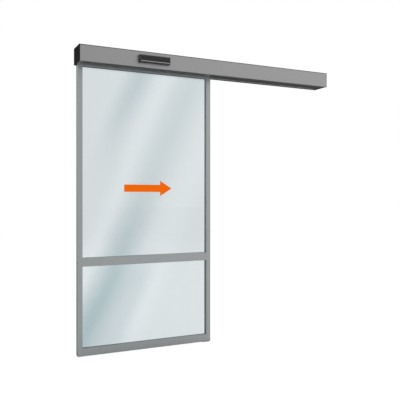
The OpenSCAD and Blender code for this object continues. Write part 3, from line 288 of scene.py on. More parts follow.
def calc(tree, operation, first, second=0.0):
    """The result of a calculation with one or two values."""
    return add(tree, "Math", {0: first, 1: second}, operation=operation).outputs[0]


def axes(tree, vector):
    """The X, Y and Z of a vector."""
    return add(tree, "SeparateXYZ", {0: vector}).outputs


def dot(tree, first, second):
    """How far two directions agree, from -1 to 1."""
    return add(tree, "VectorMath", {0: first, 1: second}, operation="DOT_PRODUCT").outputs["Value"]


def spread(tree, value, low, high, out_low=0.0, out_high=1.0):
    """A value eased from one range to another."""
    node = add(tree, "MapRange", {"Value": value, "From Min": low, "From Max": high, "To Min": out_low,
                                  "To Max": out_high}, interpolation_type="SMOOTHSTEP")
    return node.outputs["Result"]


def between(tree, factor, first, second):
    """A number between two others."""
    return add(tree, "Mix", {0: factor, 2: first, 3: second}, data_type="FLOAT").outputs[0]


def blend(tree, factor, first, second, how="MIX"):
    """A blend of two colours."""
    node = add(tree, "Mix", {0: factor, 6: first, 7: second}, data_type="RGBA", blend_type=how)
    return node.outputs[2]


def mix_shaders(tree, factor, first, second):
    """A mix of two shaders."""
    return add(tree, "MixShader", {0: factor, 1: first, 2: second}).outputs[0]


def noise(tree, place, scale, detail, rough=0.5):
    """Noise at a scale in features per metre."""
    return add(tree, "TexNoise", {"Vector": place, "Scale": scale, "Detail": detail,
                                  "Roughness": rough}).outputs[0]


def seen_rays(tree):
    """1 for what the camera sees by itself or through the panes, and 0 for reflections and light."""
    path = add(tree, "LightPath").outputs
    bounces = calc(tree, "ADD", path["Glossy Depth"], path["Diffuse Depth"])
    through = calc(tree, "MINIMUM", path["Is Transmission Ray"], calc(tree, "LESS_THAN", bounces, 0.5))
    return calc(tree, "MAXIMUM", path["Is Camera Ray"], through)


def rgba(values):
    """A colour with full alpha."""
    return (*values, 1.0)


def new_group(name, inputs, outputs):
    """An empty node group with named sockets; returns its tree, its input node and its output node."""
    tree = bpy.data.node_groups.new(name, "ShaderNodeTree")
    for label, kind in inputs:
        tree.interface.new_socket(label, in_out="INPUT", socket_type="NodeSocket" + kind)
    for label, kind in outputs:
        tree.interface.new_socket(label, in_out="OUTPUT", socket_type="NodeSocket" + kind)
    return tree, tree.nodes.new("NodeGroupInput").outputs, tree.nodes.new("NodeGroupOutput").inputs


def use_group(tree, maker, **values):
    """The outputs of a shared effect placed in a material; its group is built the first time."""
    name = maker.__name__.replace("_", " ").capitalize()
    node = tree.nodes.new("ShaderNodeGroup")
    node.node_tree = bpy.data.node_groups.get(name) or maker(name)
    wire(tree, node.inputs, {label.capitalize(): value for label, value in values.items()})
    return node.outputs


# Shared effects

def new_grain(name, size, kind):
    """The group of a grain, with the input that sets its size and the sockets that every grain has."""
    return new_group(
        name,
        [("Place", "Vector"), (size, kind), ("Colour", "Color"), ("Contrast", "Float"),
         ("Roughness", "Float"), ("Spread", "Float")],
        [("Colour", "Color"), ("Roughness", "Float"), ("Height", "Float")])


def finish_grain(tree, given, out, uneven, height):
    """Lets an unevenness about 0.5 change a grain's colour and roughness, and puts out its height."""
    middle = calc(tree, "SUBTRACT", uneven, 0.5)
    lift = calc(tree, "ADD", calc(tree, "MULTIPLY", middle, given["Contrast"]), 1.0)
    grey = add(tree, "CombineColor", {0: lift, 1: lift, 2: lift}).outputs[0]
    rough = calc(tree, "ADD", given["Roughness"], calc(tree, "MULTIPLY", middle, given["Spread"]))
    wire(tree, out, {"Colour": blend(tree, 1.0, given["Colour"], grey, "MULTIPLY"), "Roughness": rough,
                     "Height": height})
    return tree


def drawn_grain(name):
    """Drawn grain: fine lines along one direction, as extruding and brushing leave them."""
    tree, given, out = new_grain(name, "Stretch", "Vector")
    along = add(tree, "VectorMath", {0: given["Place"], 1: given["Stretch"]},
                operation="MULTIPLY").outputs[0]
    lines = noise(tree, along, 1.0, 3.0, 0.65)
    clouds = noise(tree, given["Place"], 5.0, 2.0, 0.5)
    uneven = calc(tree, "ADD", calc(tree, "MULTIPLY", lines, 0.7), calc(tree, "MULTIPLY", clouds, 0.3))
    return finish_grain(tree, given, out, uneven, lines)


def moulded_grain(name):
    """Moulded grain: the fine pebbles of a spark-eroded mould, with a slight cloudiness."""
    tree, given, out = new_grain(name, "Pebbles", "Float")
    cells = add(tree, "TexVoronoi", {"Vector": given["Place"], "Scale": given["Pebbles"]},
                feature="SMOOTH_F1").outputs["Distance"]
    clouds = noise(tree, given["Place"], 9.0, 3.0, 0.55)
    return finish_grain(tree, given, out, clouds, cells)


def settled_dust(name):
    """Settled dust: a thin pale film on faces that look up, thicker in patches."""
    tree, given, out = new_group(
        name,
        [("Place", "Vector"), ("Facing", "Vector"), ("Colour", "Color"), ("Roughness", "Float"),
         ("Amount", "Float")],
        [("Colour", "Color"), ("Roughness", "Float")])
    up = spread(tree, axes(tree, given["Facing"])["Z"], 0.6, 0.98)
    patches = spread(tree, noise(tree, given["Place"], 14.0, 6.0, 0.65), 0.3, 0.72, 0.35, 1.0)
    film = calc(tree, "MULTIPLY", calc(tree, "MULTIPLY", up, patches), given["Amount"])
    dust = rgba(linear(186, 181, 172))
    wire(tree, out, {"Colour": blend(tree, film, given["Colour"], dust),
                     "Roughness": between(tree, film, given["Roughness"], 0.9)})
    return tree


def edge_wear(name):
    """Edge wear: a mask that is 1 along sharp edges, broken up as handling leaves it."""
    tree, given, out = new_group(
        name, [("Place", "Vector"), ("Radius", "Float"), ("Amount", "Float")], [("Wear", "Float")])
    soft = add(tree, "Bevel", {"Radius": given["Radius"]}, samples=4).outputs[0]
    edge = spread(tree, dot(tree, soft, add(tree, "NewGeometry").outputs["Normal"]), 0.98, 0.8)
    broken = spread(tree, noise(tree, given["Place"], 160.0, 4.0, 0.7), 0.35, 0.7)
    wear = calc(tree, "MULTIPLY", calc(tree, "MULTIPLY", edge, broken), given["Amount"])
    wire(tree, out, {"Wear": wear})
    return tree


# Finishes

def new_material(name):
    """A material with its tree, its surface shader and object coordinates."""
    material = bpy.data.materials.new(name)
    material.use_nodes = True
    tree = material.node_tree
    place = add(tree, "TexCoord").outputs["Object"]
    return material, tree, tree.nodes["Principled BSDF"], place


def show(tree, output):
    """Makes a shader the one that the surface shows."""
    wire(tree, tree.nodes["Material Output"].inputs, {"Surface": output})


def relief(tree, height, depth):
    """The normals of a relief whose depth is given in metres."""
    return add(tree, "Bump", {"Strength": 1.0, "Distance": depth, "Height": height}).outputs["Normal"]


def drawn_metal(name, tint, along, roughness, contrast=0.12, dust=0.0, metallic=1.0):
    """Metal whose fine lines run along one axis, with dust on top."""
    material, tree, shader, place = new_material(name)
    fine, drawn_out = 900.0, 7.0
    stretch = [drawn_out if axis == along else fine for axis in "XYZ"]
    grain = use_group(tree, drawn_grain, place=place, stretch=stretch, colour=rgba(tint),
                      contrast=contrast, roughness=roughness, spread=0.16)
    facing_way = add(tree, "NewGeometry").outputs["Normal"]
    film = use_group(tree, settled_dust, place=place, facing=facing_way, colour=grain["Colour"],
                     roughness=grain["Roughness"], amount=dust)
    wire(tree, shader.inputs, {"Base Color": film["Colour"], "Roughness": film["Roughness"],
                               "Metallic": metallic, "Normal": relief(tree, grain["Height"], 0.00001)})
    return material


def worn_coat(name, tint, bare, roughness, pebbles=500.0, depth=0.00002, wear=0.3, metallic=0.0,
              coat=0.0, shine=0.5):
    """A coated or cast surface with its coat worn along the edges."""
    material, tree, shader, place = new_material(name)
    grain = use_group(tree, moulded_grain, place=place, pebbles=pebbles, colour=rgba(tint),
                      contrast=0.16, roughness=roughness, spread=0.2)
    worn = use_group(tree, edge_wear, place=place, radius=0.0006, amount=wear)["Wear"]
    wire(tree, shader.inputs, {"Base Color": blend(tree, worn, grain["Colour"], rgba(bare)),
                               "Roughness": grain["Roughness"], "Metallic": metallic, "Coat Weight": coat,
                               "Specular IOR Level": shine,
                               "Normal": relief(tree, grain["Height"], depth)})
    return material


def rubber(name, tint, bloom=0.25):
    """Extruded rubber with a faint grey bloom."""
    material, tree, shader, place = new_material(name)
    grain = use_group(tree, moulded_grain, place=place, pebbles=1400.0, colour=rgba(tint), contrast=0.3,
                      roughness=0.72, spread=0.15)
    cloudy = spread(tree, noise(tree, place, 30.0, 5.0, 0.6), 0.45, 0.8, 0.0, bloom)
    bloomed = blend(tree, cloudy, grain["Colour"], rgba(linear(84, 84, 84)))
    wire(tree, shader.inputs, {"Base Color": bloomed, "Roughness": grain["Roughness"],
                               "Normal": relief(tree, grain["Height"], 0.00003)})
    return material


def paint(material, *names):
    """Gives a finish to CAD parts."""
    for name in names:
        part = frame["nodes"][name]
        if not part.material_slots:
            part.data.materials.append(material)
        for slot in part.material_slots:
            slot.material = material


# Modelling helpers

def clear_selection():
    """Leaves every object unselected."""
    bpy.ops.object.select_all(action="DESELECT")


def pick(objects):
    """Selects these objects and makes the first the active one."""
    clear_selection()
    for item in objects:
        item.select_set(True)
    bpy.context.view_layer.objects.active = objects[0]


def settle(piece, name, material, body, slot):
    """Names a finished piece, puts its place in its mesh, and lets it ride on a body."""
    pick([piece])
    bpy.ops.object.transform_apply()
    piece.name = name
    piece.data.name = name
    piece.data.materials.clear()
    piece.data.materials.append(material)
    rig.ride(piece, body)
    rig.slot(piece, slot)
    return piece


def joined(pieces):
    """Several meshes as one."""
    pick(pieces)
    if len(pieces) > 1:
        bpy.ops.object.join()
    return bpy.context.object


def choose(piece, kind, test):
    """Selects the faces or the edges that pass a test, in edit mode."""
    bpy.ops.object.mode_set(mode="EDIT")
    bpy.ops.mesh.select_mode(type=kind)
    bpy.ops.mesh.select_all(action="DESELECT")
    mesh = bmesh.from_edit_mesh(piece.data)
    for part in mesh.faces if kind == "FACE" else mesh.edges:
        part.select_set(test(part))
    mesh.select_flush_mode()
    bmesh.update_edit_mesh(piece.data)


def facing(way):
    """A test for the faces that look one way."""
    return lambda face: face.normal.dot(Vector(way)) > 0.9


def runs_along(axis, least):
    """A test for the edges that are longer than a measure along one axis."""
    number = "XYZ".index(axis)
    return lambda edge: abs(edge.verts[0].co[number] - edge.verts[1].co[number]) > least


def pull(x=0.0, y=0.0, z=0.0):
    """Extrudes what is selected and moves it."""
    bpy.ops.mesh.extrude_region_move(TRANSFORM_OT_translate={"value": (x, y, z)})


def leave_edit():
    """Goes back to object mode."""
    bpy.ops.object.mode_set(mode="OBJECT")


def modify(piece, kind, **settings):
    """Gives a piece a modifier and applies it."""
    modifier = piece.modifiers.new("shape", kind)
    for name, value in settings.items():
        setattr(modifier, name, value)
    pick([piece])
    bpy.ops.object.modifier_apply(modifier=modifier.name)


def carve(piece, cutter):
    """Cuts one mesh out of another and takes the cutter away."""
    modify(piece, "BOOLEAN", operation="DIFFERENCE", object=cutter)
    bpy.data.objects.remove(cutter)


def solids(name):
    """The lowest and highest corners of each separate solid of a CAD part."""
    mesh = bmesh.new()
    mesh.from_mesh(frame["nodes"][name].data)
    bmesh.ops.remove_doubles(mesh, verts=mesh.verts, dist=0.00001)
    mesh.verts.ensure_lookup_table()
    boxes = []
    unseen = set(range(len(mesh.verts)))
    while unseen:
        waiting = [unseen.pop()]
        found = []
        while waiting:
            vertex = mesh.verts[waiting.pop()]
            found.append(vertex.co.copy())
            for link in vertex.link_edges:
                other = link.other_vert(vertex).index
                if other in unseen:
                    unseen.remove(other)
                    waiting.append(other)
        boxes.append(tuple(Vector(pick_end(axis) for axis in zip(*found)) for pick_end in (min, max)))
    mesh.free()
    return boxes


def block(centre, size, turn=0.0):
    """A box, turned about the Z axis, as a start for shaped pieces."""
    clear_selection()
    bpy.ops.mesh.primitive_cube_add(size=1.0, location=centre, rotation=(0.0, 0.0, turn), scale=size)
    bpy.ops.object.transform_apply()
    return bpy.context.object


def rod(radius, depth, seat=0.0, sides=32):
    """A cylinder on the Z axis with its foot at a height, as a start for turned pieces."""
    clear_selection()
    bpy.ops.mesh.primitive_cylinder_add(vertices=sides, radius=radius, depth=depth,
                                        location=(0.0, 0.0, seat + depth / 2))
    bpy.ops.object.transform_apply()
    return bpy.context.object


def soften_top(piece, height, offset, segments=3):
    """Rounds the rim at a height."""
    choose(piece, "EDGE", lambda edge: all(abs(v.co.z - height) < 0.00001 for v in edge.verts))
    bpy.ops.mesh.bevel(offset=offset, segments=segments)
    leave_edit()


def screw(radius, height, shank_radius, shank, sunk=False, recess=(0.0, 90.0)):
    """A screw on the Z axis with its seat at the origin; a sunk head lies below it, flush."""
    foot = -height if sunk else 0.0
    piece = rod(radius, height, foot, 24)
    choose(piece, "FACE", facing(DOWN))
    if sunk:
        bpy.ops.transform.resize(value=(shank_radius / radius, shank_radius / radius, 1.0))
    else:
        bpy.ops.mesh.inset(thickness=radius - shank_radius)
    pull(z=-shank)
    leave_edit()
    if not sunk:
        soften_top(piece, height, 0.4 * height)
    slot = (1.25 * radius, 0.26 * radius, 1.1 * height)
    for turn in recess:
        carve(piece, block((0.0, 0.0, foot + height), slot, math.radians(turn)))
    return piece


def nut(radius, height, seat=0.0):
    """A hexagon with a chamfered rim, on the Z axis."""
    piece = rod(radius, height, seat, 6)
    soften_top(piece, seat + height, 0.2 * height, 1)
    return piece


def set_out(pattern, places):
    """Copies of a piece that stands on the Z axis, each at its place and facing its way, as one mesh."""
    copies = []
    for place, way in places:
        pick([pattern])
        bpy.ops.object.duplicate()
        copy = bpy.context.object
        copy.location = place
        copy.rotation_euler = Vector(way).to_track_quat("Z", "Y").to_euler()
        bpy.ops.object.transform_apply()
        copies.append(copy)
    bpy.data.objects.remove(pattern)
    return joined(copies)


# Operators

class DOOR_OT_camera(Operator):
    """Place the camera where the door was seen from"""

    bl_idname = "door.camera"
    bl_label = "Camera"

    def execute(self, context):
        view = context.scene.door_view
        clear_selection()
        bpy.ops.object.camera_add(location=view.place, rotation=view.turn)
        camera = context.object
        camera.name = "door_camera"
        camera.data.lens = view.lens
        camera.data.sensor_width = 36.0
        camera.data.shift_x = view.shift[0]
        camera.data.shift_y = view.shift[1]
        camera.data.clip_end = 200.0
        context.scene.camera = camera
        return {"FINISHED"}


class DOOR_OT_studio(Operator):
    """Build the floor, the backdrop's light and the soft boxes"""

    bl_idname = "door.studio"
    bl_label = "Studio"

    def execute(self, context):
        studio = context.scene.door_studio
        self.floor(studio)
        self.backdrop(context.scene, studio)
        self.soft_box("key_light", place=(3.4, -5.2, 0.9), aim=(0.0, 0.0, -0.6), size=3.2,
                      power=studio.key_power)
        self.soft_box("top_light", place=(0.2, -1.6, 3.0), aim=(0.0, -0.1, -0.2), size=3.0,
                      power=studio.top_power)
        context.scene.view_settings.view_transform = "Standard"
        return {"FINISHED"}

    def floor(self, studio):
        """A wide pale floor that keeps the door's shadow and meets the backdrop without a line."""
        clear_selection()
        bpy.ops.mesh.primitive_plane_add(size=120.0, location=(0.0, 0.0, FLOOR_Z))
        floor = bpy.context.object
        floor.name = "floor"
        material, tree, shader, place = new_material("pale_floor")
        seen = seen_rays(tree)
        spot = axes(tree, place)
        wire(tree, shader.inputs, {"Base Color": self.floor_tone(tree, studio, seen, place, spot),
                                   "Roughness": 0.9, "Specular IOR Level": 0.0})
        near, far, strength_near = 2.5, 14.0, 1.06
        off = add(tree, "VectorMath", {0: place}, operation="LENGTH").outputs["Value"]
        strength = spread(tree, off, near, far, strength_near, 1.0)
        lifted = add(tree, "Emission", {"Color": rgba(studio.paper), "Strength": strength}).outputs[0]
        white = calc(tree, "MULTIPLY", seen, spread(tree, off, near, far, studio.floor_white, 1.0))
        shown = mix_shaders(tree, white, shader.outputs[0], lifted)
        fade_from, fade_to = 16.0, 50.0
        mirrored = calc(tree, "SUBTRACT", 1.0, seen)
        fade = calc(tree, "MULTIPLY", spread(tree, spot["Y"], fade_from, fade_to), mirrored)
        show(tree, mix_shaders(tree, fade, shown, add(tree, "BsdfTransparent").outputs[0]))
        floor.data.materials.append(material)
        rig.stage(floor)

    def floor_tone(self, tree, studio, seen, place, spot):
        """The backdrop's colour where it is seen; as a source of light, darker behind the door."""
        behind = calc(tree, "MULTIPLY", spread(tree, spot["Y"], 0.0, 1.8),
                      spread(tree, spot["X"], -2.6, -0.8))
        tone = blend(tree, behind, rgba([studio.floor_front] * 3), rgba([studio.floor_behind] * 3))
        tone = blend(tree, seen, tone, rgba(studio.paper))
        flecks = calc(tree, "MULTIPLY", noise(tree, place, 60.0, 3.0, 0.6), 0.08)
        return blend(tree, flecks, tone, rgba([0.9 * studio.floor_behind] * 3))

    def backdrop(self, scene, studio):
        """White where it is seen; as light, a bright side at the front right and three dimmer windows."""
        world = bpy.data.worlds.new("studio")
        scene.world = world
        world.use_nodes = True
        tree = world.node_tree
        shader = tree.nodes["Background"]
        way = add(tree, "TexCoord").outputs["Generated"]
        light = self.window(tree, way, (0.88, -0.4, 0.25), edge=0.2, core=1.0, most=studio.bright,
                            least=studio.dim)
        for window in (self.window(tree, way, (-0.85, 0.5, 0.1), edge=0.2, core=0.9, most=studio.glow),
                       self.window(tree, way, (0.6, 0.8, 0.2), edge=0.1, core=0.9, most=studio.rear),
                       self.window(tree, way, (-0.88, -0.45, 0.1), edge=0.35, core=1.0, most=studio.side)):
            light = calc(tree, "ADD", light, window)
        wire(tree, shader.inputs, {"Color": rgba(studio.paper),
                                   "Strength": between(tree, seen_rays(tree), light, 1.0)})

    def window(self, tree, way, middle, edge, core, most, least=0.0):
        """Light that grows from a window's edge to its core, each told by how far a way agrees with it."""
        return spread(tree, dot(tree, way, Vector(middle).normalized()), edge, core, least, most)

    def soft_box(self, name, place, aim, size, power):
        """A square lamp that looks at a point."""
        clear_selection()
        turn = (Vector(aim) - Vector(place)).to_track_quat("-Z", "Y").to_euler()
        bpy.ops.object.light_add(type="AREA", location=place, rotation=turn)
        lamp = bpy.context.object
        lamp.name = name
        lamp.data.size = size
        lamp.data.energy = power
        lamp.visible_camera = False
        lamp.visible_glossy = False
        lamp.visible_transmission = False


class DOOR_OT_header(Operator):
    """Finish the header's carrier, its end caps, rail, stops and seals"""

    bl_idname = "door.header"
    bl_label = "Header"

    def execute(self, context):
        look = context.scene.door_finishes
        paint(drawn_metal("mill_aluminium", look.profile, along="X", roughness=0.36, dust=look.dust),
              "carrier_profile")
        paint(worn_coat("cap_plastic", look.cap, linear(46, 46, 48), roughness=0.8, pebbles=1300.0,
                        depth=0.00003, shine=0.03), "end_cap_left", "end_cap_right")
        # The cover seal is black rubber along the cover's top edge; its dark strip is partly painted shade, standing
        # in for the shadow in the seam there.
        paint(rubber("black_rubber", look.rubber), "cover_seal", "rail_damper", "buffers", "cable_grommet")
        paint(self.rail_steel(look), "running_rail")
        paint(worn_coat("stop_metal", linear(92, 93, 95), linear(176, 177, 178), roughness=0.5,
                        pebbles=700.0, depth=0.00004, wear=0.5, metallic=0.6), "stop_brackets")
        paint(worn_coat("plated_steel", look.plated, linear(214, 212, 206), roughness=0.34, depth=0.00001,
                        metallic=1.0), "cap_screws", "slot_bolts")
        return {"FINISHED"}

    def rail_steel(self, look):
        """Drawn steel with a polished track where the wheels run."""
        material, tree, shader, place = new_material("rail_steel")
        grain = use_group(tree, drawn_grain, place=place, stretch=(5.0, 1100.0, 1100.0),
                          colour=rgba(look.steel), contrast=0.2, roughness=0.42, spread=0.2)
        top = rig.box("running_rail")[1].z
        track = spread(tree, axes(tree, place)["Z"], top - 0.0012, top - 0.0006)
        polished = blend(tree, track, grain["Colour"], rgba(linear(222, 222, 220)))
        wire(tree, shader.inputs, {"Base Color": polished, "Metallic": 1.0,
                                   "Roughness": between(tree, track, grain["Roughness"], 0.12),
                                   "Normal": relief(tree, grain["Height"], 0.00001)})
        return material


class DOOR_OT_modules(Operator):
    """Finish the motor, gearbox, control unit, power supply and battery"""

    bl_idname = "door.modules"
    bl_label = "Drive and electronics"

    def execute(self, context):
        look = context.scene.door_finishes
        paint(worn_coat("motor_paint", linear(38, 38, 41), linear(120, 120, 122), roughness=0.42,
                        pebbles=900.0, depth=0.00003, wear=0.5, coat=0.2), "motor")
        paint(worn_coat("cast_metal", look.cast, linear(206, 206, 204), roughness=0.5, pebbles=520.0,
                        depth=0.00008, wear=0.45, metallic=0.4), "gearbox")
        paint(worn_coat("bracket_steel", look.plated, linear(216, 214, 208), roughness=0.36, pebbles=420.0,
                        metallic=1.0), "motor_bracket", "idler_bracket", "tension_screw")
        paint(worn_coat("unit_grey", linear(138, 142, 146), linear(172, 175, 178), roughness=0.55,
                        pebbles=1200.0, depth=0.00004, wear=0.25), "control_unit")
        paint(drawn_metal("supply_steel", look.plated, along="X", roughness=0.4, contrast=0.1,
                          metallic=0.6), "power_supply")
        paint(worn_coat("battery_wrap", linear(34, 62, 108), linear(70, 98, 140), roughness=0.3,
                        pebbles=300.0, wear=0.2, coat=0.3), "battery_pack")
        paint(drawn_metal("turned_steel", look.steel, along="Y", roughness=0.28, contrast=0.15),
              "drive_shaft", "idler_axle", "idler_bearing")
        paint(drawn_metal("pulley_metal", linear(178, 180, 183), along="Y", roughness=0.34, contrast=0.1),
              "drive_pulley", "idler_pulley")
        paint(rubber("belt_rubber", linear(26, 26, 28), bloom=0.4), "toothed_belt")
        return {"FINISHED"}


class DOOR_OT_cover(Operator):
    """Finish the front cover and its clips"""

    bl_idname = "door.cover"
    bl_label = "Front cover"

    def execute(self, context):
        look = context.scene.door_finishes
        paint(drawn_metal("cover_aluminium", look.cover, along="X", roughness=look.roughness, contrast=0.07,
                          dust=look.dust), "front_cover")
        paint(drawn_metal("spring_steel", look.plated, along="X", roughness=0.25), "cover_clips")
        return {"FINISHED"}


class DOOR_OT_sensor(Operator):
    """Finish the motion sensor"""

    bl_idname = "door.sensor"
    bl_label = "Motion sensor"

    def execute(self, context):
        look = context.scene.door_sensor
        paint(worn_coat("sensor_plastic", look.housing, linear(84, 84, 86), roughness=0.5, pebbles=1500.0,
                        wear=0.2, shine=0.3), "sensor_housing")
        paint(worn_coat("sensor_window", look.window, linear(44, 44, 46), roughness=0.3, pebbles=60.0,
                        depth=0.0, wear=0.0, shine=0.25), "sensor_lens")
        paint(drawn_metal("sensor_line", look.line, along="X", roughness=0.2, contrast=0.04), "sensor_trim")
        paint(worn_coat("board_green", linear(22, 78, 44), linear(60, 110, 70), roughness=0.4,
                        pebbles=400.0, depth=0.00001, wear=0.2, coat=0.4), "sensor_board")
        return {"FINISHED"}


class DOOR_OT_leaf(Operator):
    """Finish the leaf's frame, its seal and its screws"""

    bl_idname = "door.leaf"
    bl_label = "Leaf frame"

    def execute(self, context):
        look = context.scene.door_finishes
        paint(drawn_metal("stile_aluminium", look.leaf, along="Z", roughness=look.roughness, contrast=0.07),
              "stile_left", "stile_right")
        paint(drawn_metal("rail_aluminium", look.leaf, along="X", roughness=look.roughness, contrast=0.07,
                          dust=0.15), "top_rail", "mid_rail", "bottom_rail")
        paint(rubber("seal_rubber", look.rubber), "closing_seal")
        paint(drawn_metal("screw_steel", look.plated, along="X", roughness=0.3), "corner_screws")
        return {"FINISHED"}


class DOOR_OT_glazing(Operator):
    """Finish the panes, their gaskets and blocks, and the arrow"""

    bl_idname = "door.glazing"
    bl_label = "Glazing"

    def execute(self, context):
        look = context.scene.door_glass
        finishes = context.scene.door_finishes
        paint(self.glass(look), "glass_upper", "glass_lower")
        paint(rubber("gasket_rubber", finishes.gasket, bloom=0.1), "gaskets_upper", "gaskets_lower")
        paint(rubber("block_rubber", finishes.rubber), "setting_blocks")
        self.arrow(look)
        return {"FINISHED"}

    def arrow(self, look):
        """The arrow as cut film, a hair's breadth off the pane, so that light reaches its back."""
        low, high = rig.box("slide_arrow")
        middle = (low.z + high.z) / 2
        neck = high.x - look.head
        clear_selection()
        bpy.ops.mesh.primitive_plane_add(size=1.0, location=((low.x + neck) / 2, low.y, middle),
                                         rotation=(math.radians(90), 0.0, 0.0))
        film = bpy.context.object
        film.scale = (neck - low.x, look.shaft, 1.0)
        bpy.ops.object.transform_apply()
        choose(film, "EDGE", lambda edge: all(v.co.x > neck - 0.001 for v in edge.verts))
        pull()
        bpy.ops.transform.resize(value=(1.0, 1.0, (high.z - low.z) / look.shaft),
                                 center_override=(neck, low.y, middle))
        pull(x=look.head)
        bpy.ops.mesh.merge(type="CENTER")
        leave_edit()
        modify(film, "SOLIDIFY", thickness=0.8 * (high.y - low.y), offset=-1.0)
        settle(film, "arrow_film", self.film(look), "leaf", "arrow_film")
        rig.replaces(film, "slide_arrow")

    def glass(self, look):
        """Clear glass with soft leaning light and dark bands painted into its colour: painted reflections of a bright
        room.
        """
        material, tree, shader, place = new_material("pane_glass")
        turned = add(tree, "Mapping", {"Vector": place, "Rotation": (0.0, -look.lean, 0.0)}).outputs[0]
        drift = calc(tree, "MULTIPLY", calc(tree, "SUBTRACT", noise(tree, place, 1.4, 1.0), 0.5), 0.10)
        across = calc(tree, "ADD", axes(tree, turned)["X"], drift)
        height = axes(tree, place)["Z"]
        # Dark bands: painted dark reflections, a deeper tint in the glass's colour.
        main = self.band(tree, across, middle=-0.08, half=0.215,
                         strength=spread(tree, height, -0.7, -1.9, 0.28, 0.95))
        beside = self.band(tree, across, middle=0.13, half=0.16,
                           strength=spread(tree, height, -1.35, -1.65, 0.0, 0.4))
        upper = self.band(tree, across, middle=-0.49, half=0.15,
                          strength=spread(tree, height, -0.9, -0.15, 0.05, 0.5))
        dark = calc(tree, "ADD", calc(tree, "ADD", main, upper), beside)
        # Light bands: painted highlights, a paler tint in the glass's colour.
        bright = calc(tree, "ADD", self.band(tree, across, middle=-0.29, half=0.12, strength=0.8),
                      self.band(tree, across, middle=0.22, half=0.2, strength=0.7))
        tint = blend(tree, bright, rgba(look.clear), rgba(look.sheen))
        wire(tree, shader.inputs, {"Base Color": blend(tree, dark, tint, rgba(look.shade)), "IOR": 1.5,
                                   "Transmission Weight": 1.0, "Roughness": 0.02})
        each_side = rgba([math.sqrt(part) for part in look.clear])
        open_way = add(tree, "BsdfTransparent", {"Color": each_side}).outputs[0]
        shadow = add(tree, "LightPath").outputs["Is Shadow Ray"]
        show(tree, mix_shaders(tree, shadow, shader.outputs[0], open_way))
        return material

    def band(self, tree, across, middle, half, strength):
        """A soft band about a line; the glass's painted reflections are made of these."""
        off = calc(tree, "ABSOLUTE", calc(tree, "SUBTRACT", across, middle))
        return calc(tree, "MULTIPLY", spread(tree, off, half, 0.0), strength)

    def film(self, look):
        """Cut vinyl with a slight orange peel."""
        material, tree, shader, place = new_material("arrow_film")
        grain = use_group(tree, moulded_grain, place=place, pebbles=700.0, colour=rgba(look.arrow),
                          contrast=0.05, roughness=0.38, spread=0.1)
        wire(tree, shader.inputs, {"Base Color": grain["Colour"], "Roughness": grain["Roughness"],
                                   "Specular IOR Level": 0.03,
                                   "Normal": relief(tree, grain["Height"], 0.00001)})
        return material


class DOOR_OT_carriages(Operator):
    """Finish the carriages, wheels, bolts and belt clamp"""

    bl_idname = "door.carriages"
    bl_label = "Carriages"

    def execute(self, context):
        look = context.scene.door_finishes
        paint(worn_coat("carriage_steel", look.plated, linear(214, 213, 208), roughness=0.38, pebbles=380.0,
                        wear=0.35, metallic=1.0), "carriage_left", "carriage_right", "hanger_bolts",
              "clamp_screws")
        paint(drawn_metal("axle_steel", look.steel, along="Y", roughness=0.26), "axles")
        paint(worn_coat("wheel_plastic", linear(222, 221, 212), linear(176, 172, 160), roughness=0.36,
                        pebbles=900.0, depth=0.00001, coat=0.1), "wheel_1", "wheel_2", "wheel_3", "wheel_4",
              "lift_roller_1", "lift_roller_2")
        paint(worn_coat("clamp_metal", linear(104, 132, 160), linear(196, 198, 200), roughness=0.4,
                        pebbles=600.0, wear=0.45, metallic=0.7), "clamp_upper", "clamp_lower")
        return {"FINISHED"}


class DOOR_OT_floor_guide(Operator):
    """Finish the floor plate and the guide block"""

    bl_idname = "door.floor_guide"
    bl_label = "Floor guide"

    def execute(self, context):
        look = context.scene.door_finishes
        paint(drawn_metal("guide_steel", look.steel, along="X", roughness=0.34, contrast=0.16, dust=0.3),
              "floor_plate")
        paint(worn_coat("guide_plastic", look.rubber, linear(60, 60, 60), roughness=0.45, pebbles=900.0,
                        wear=0.5), "guide_block")
        return {"FINISHED"}


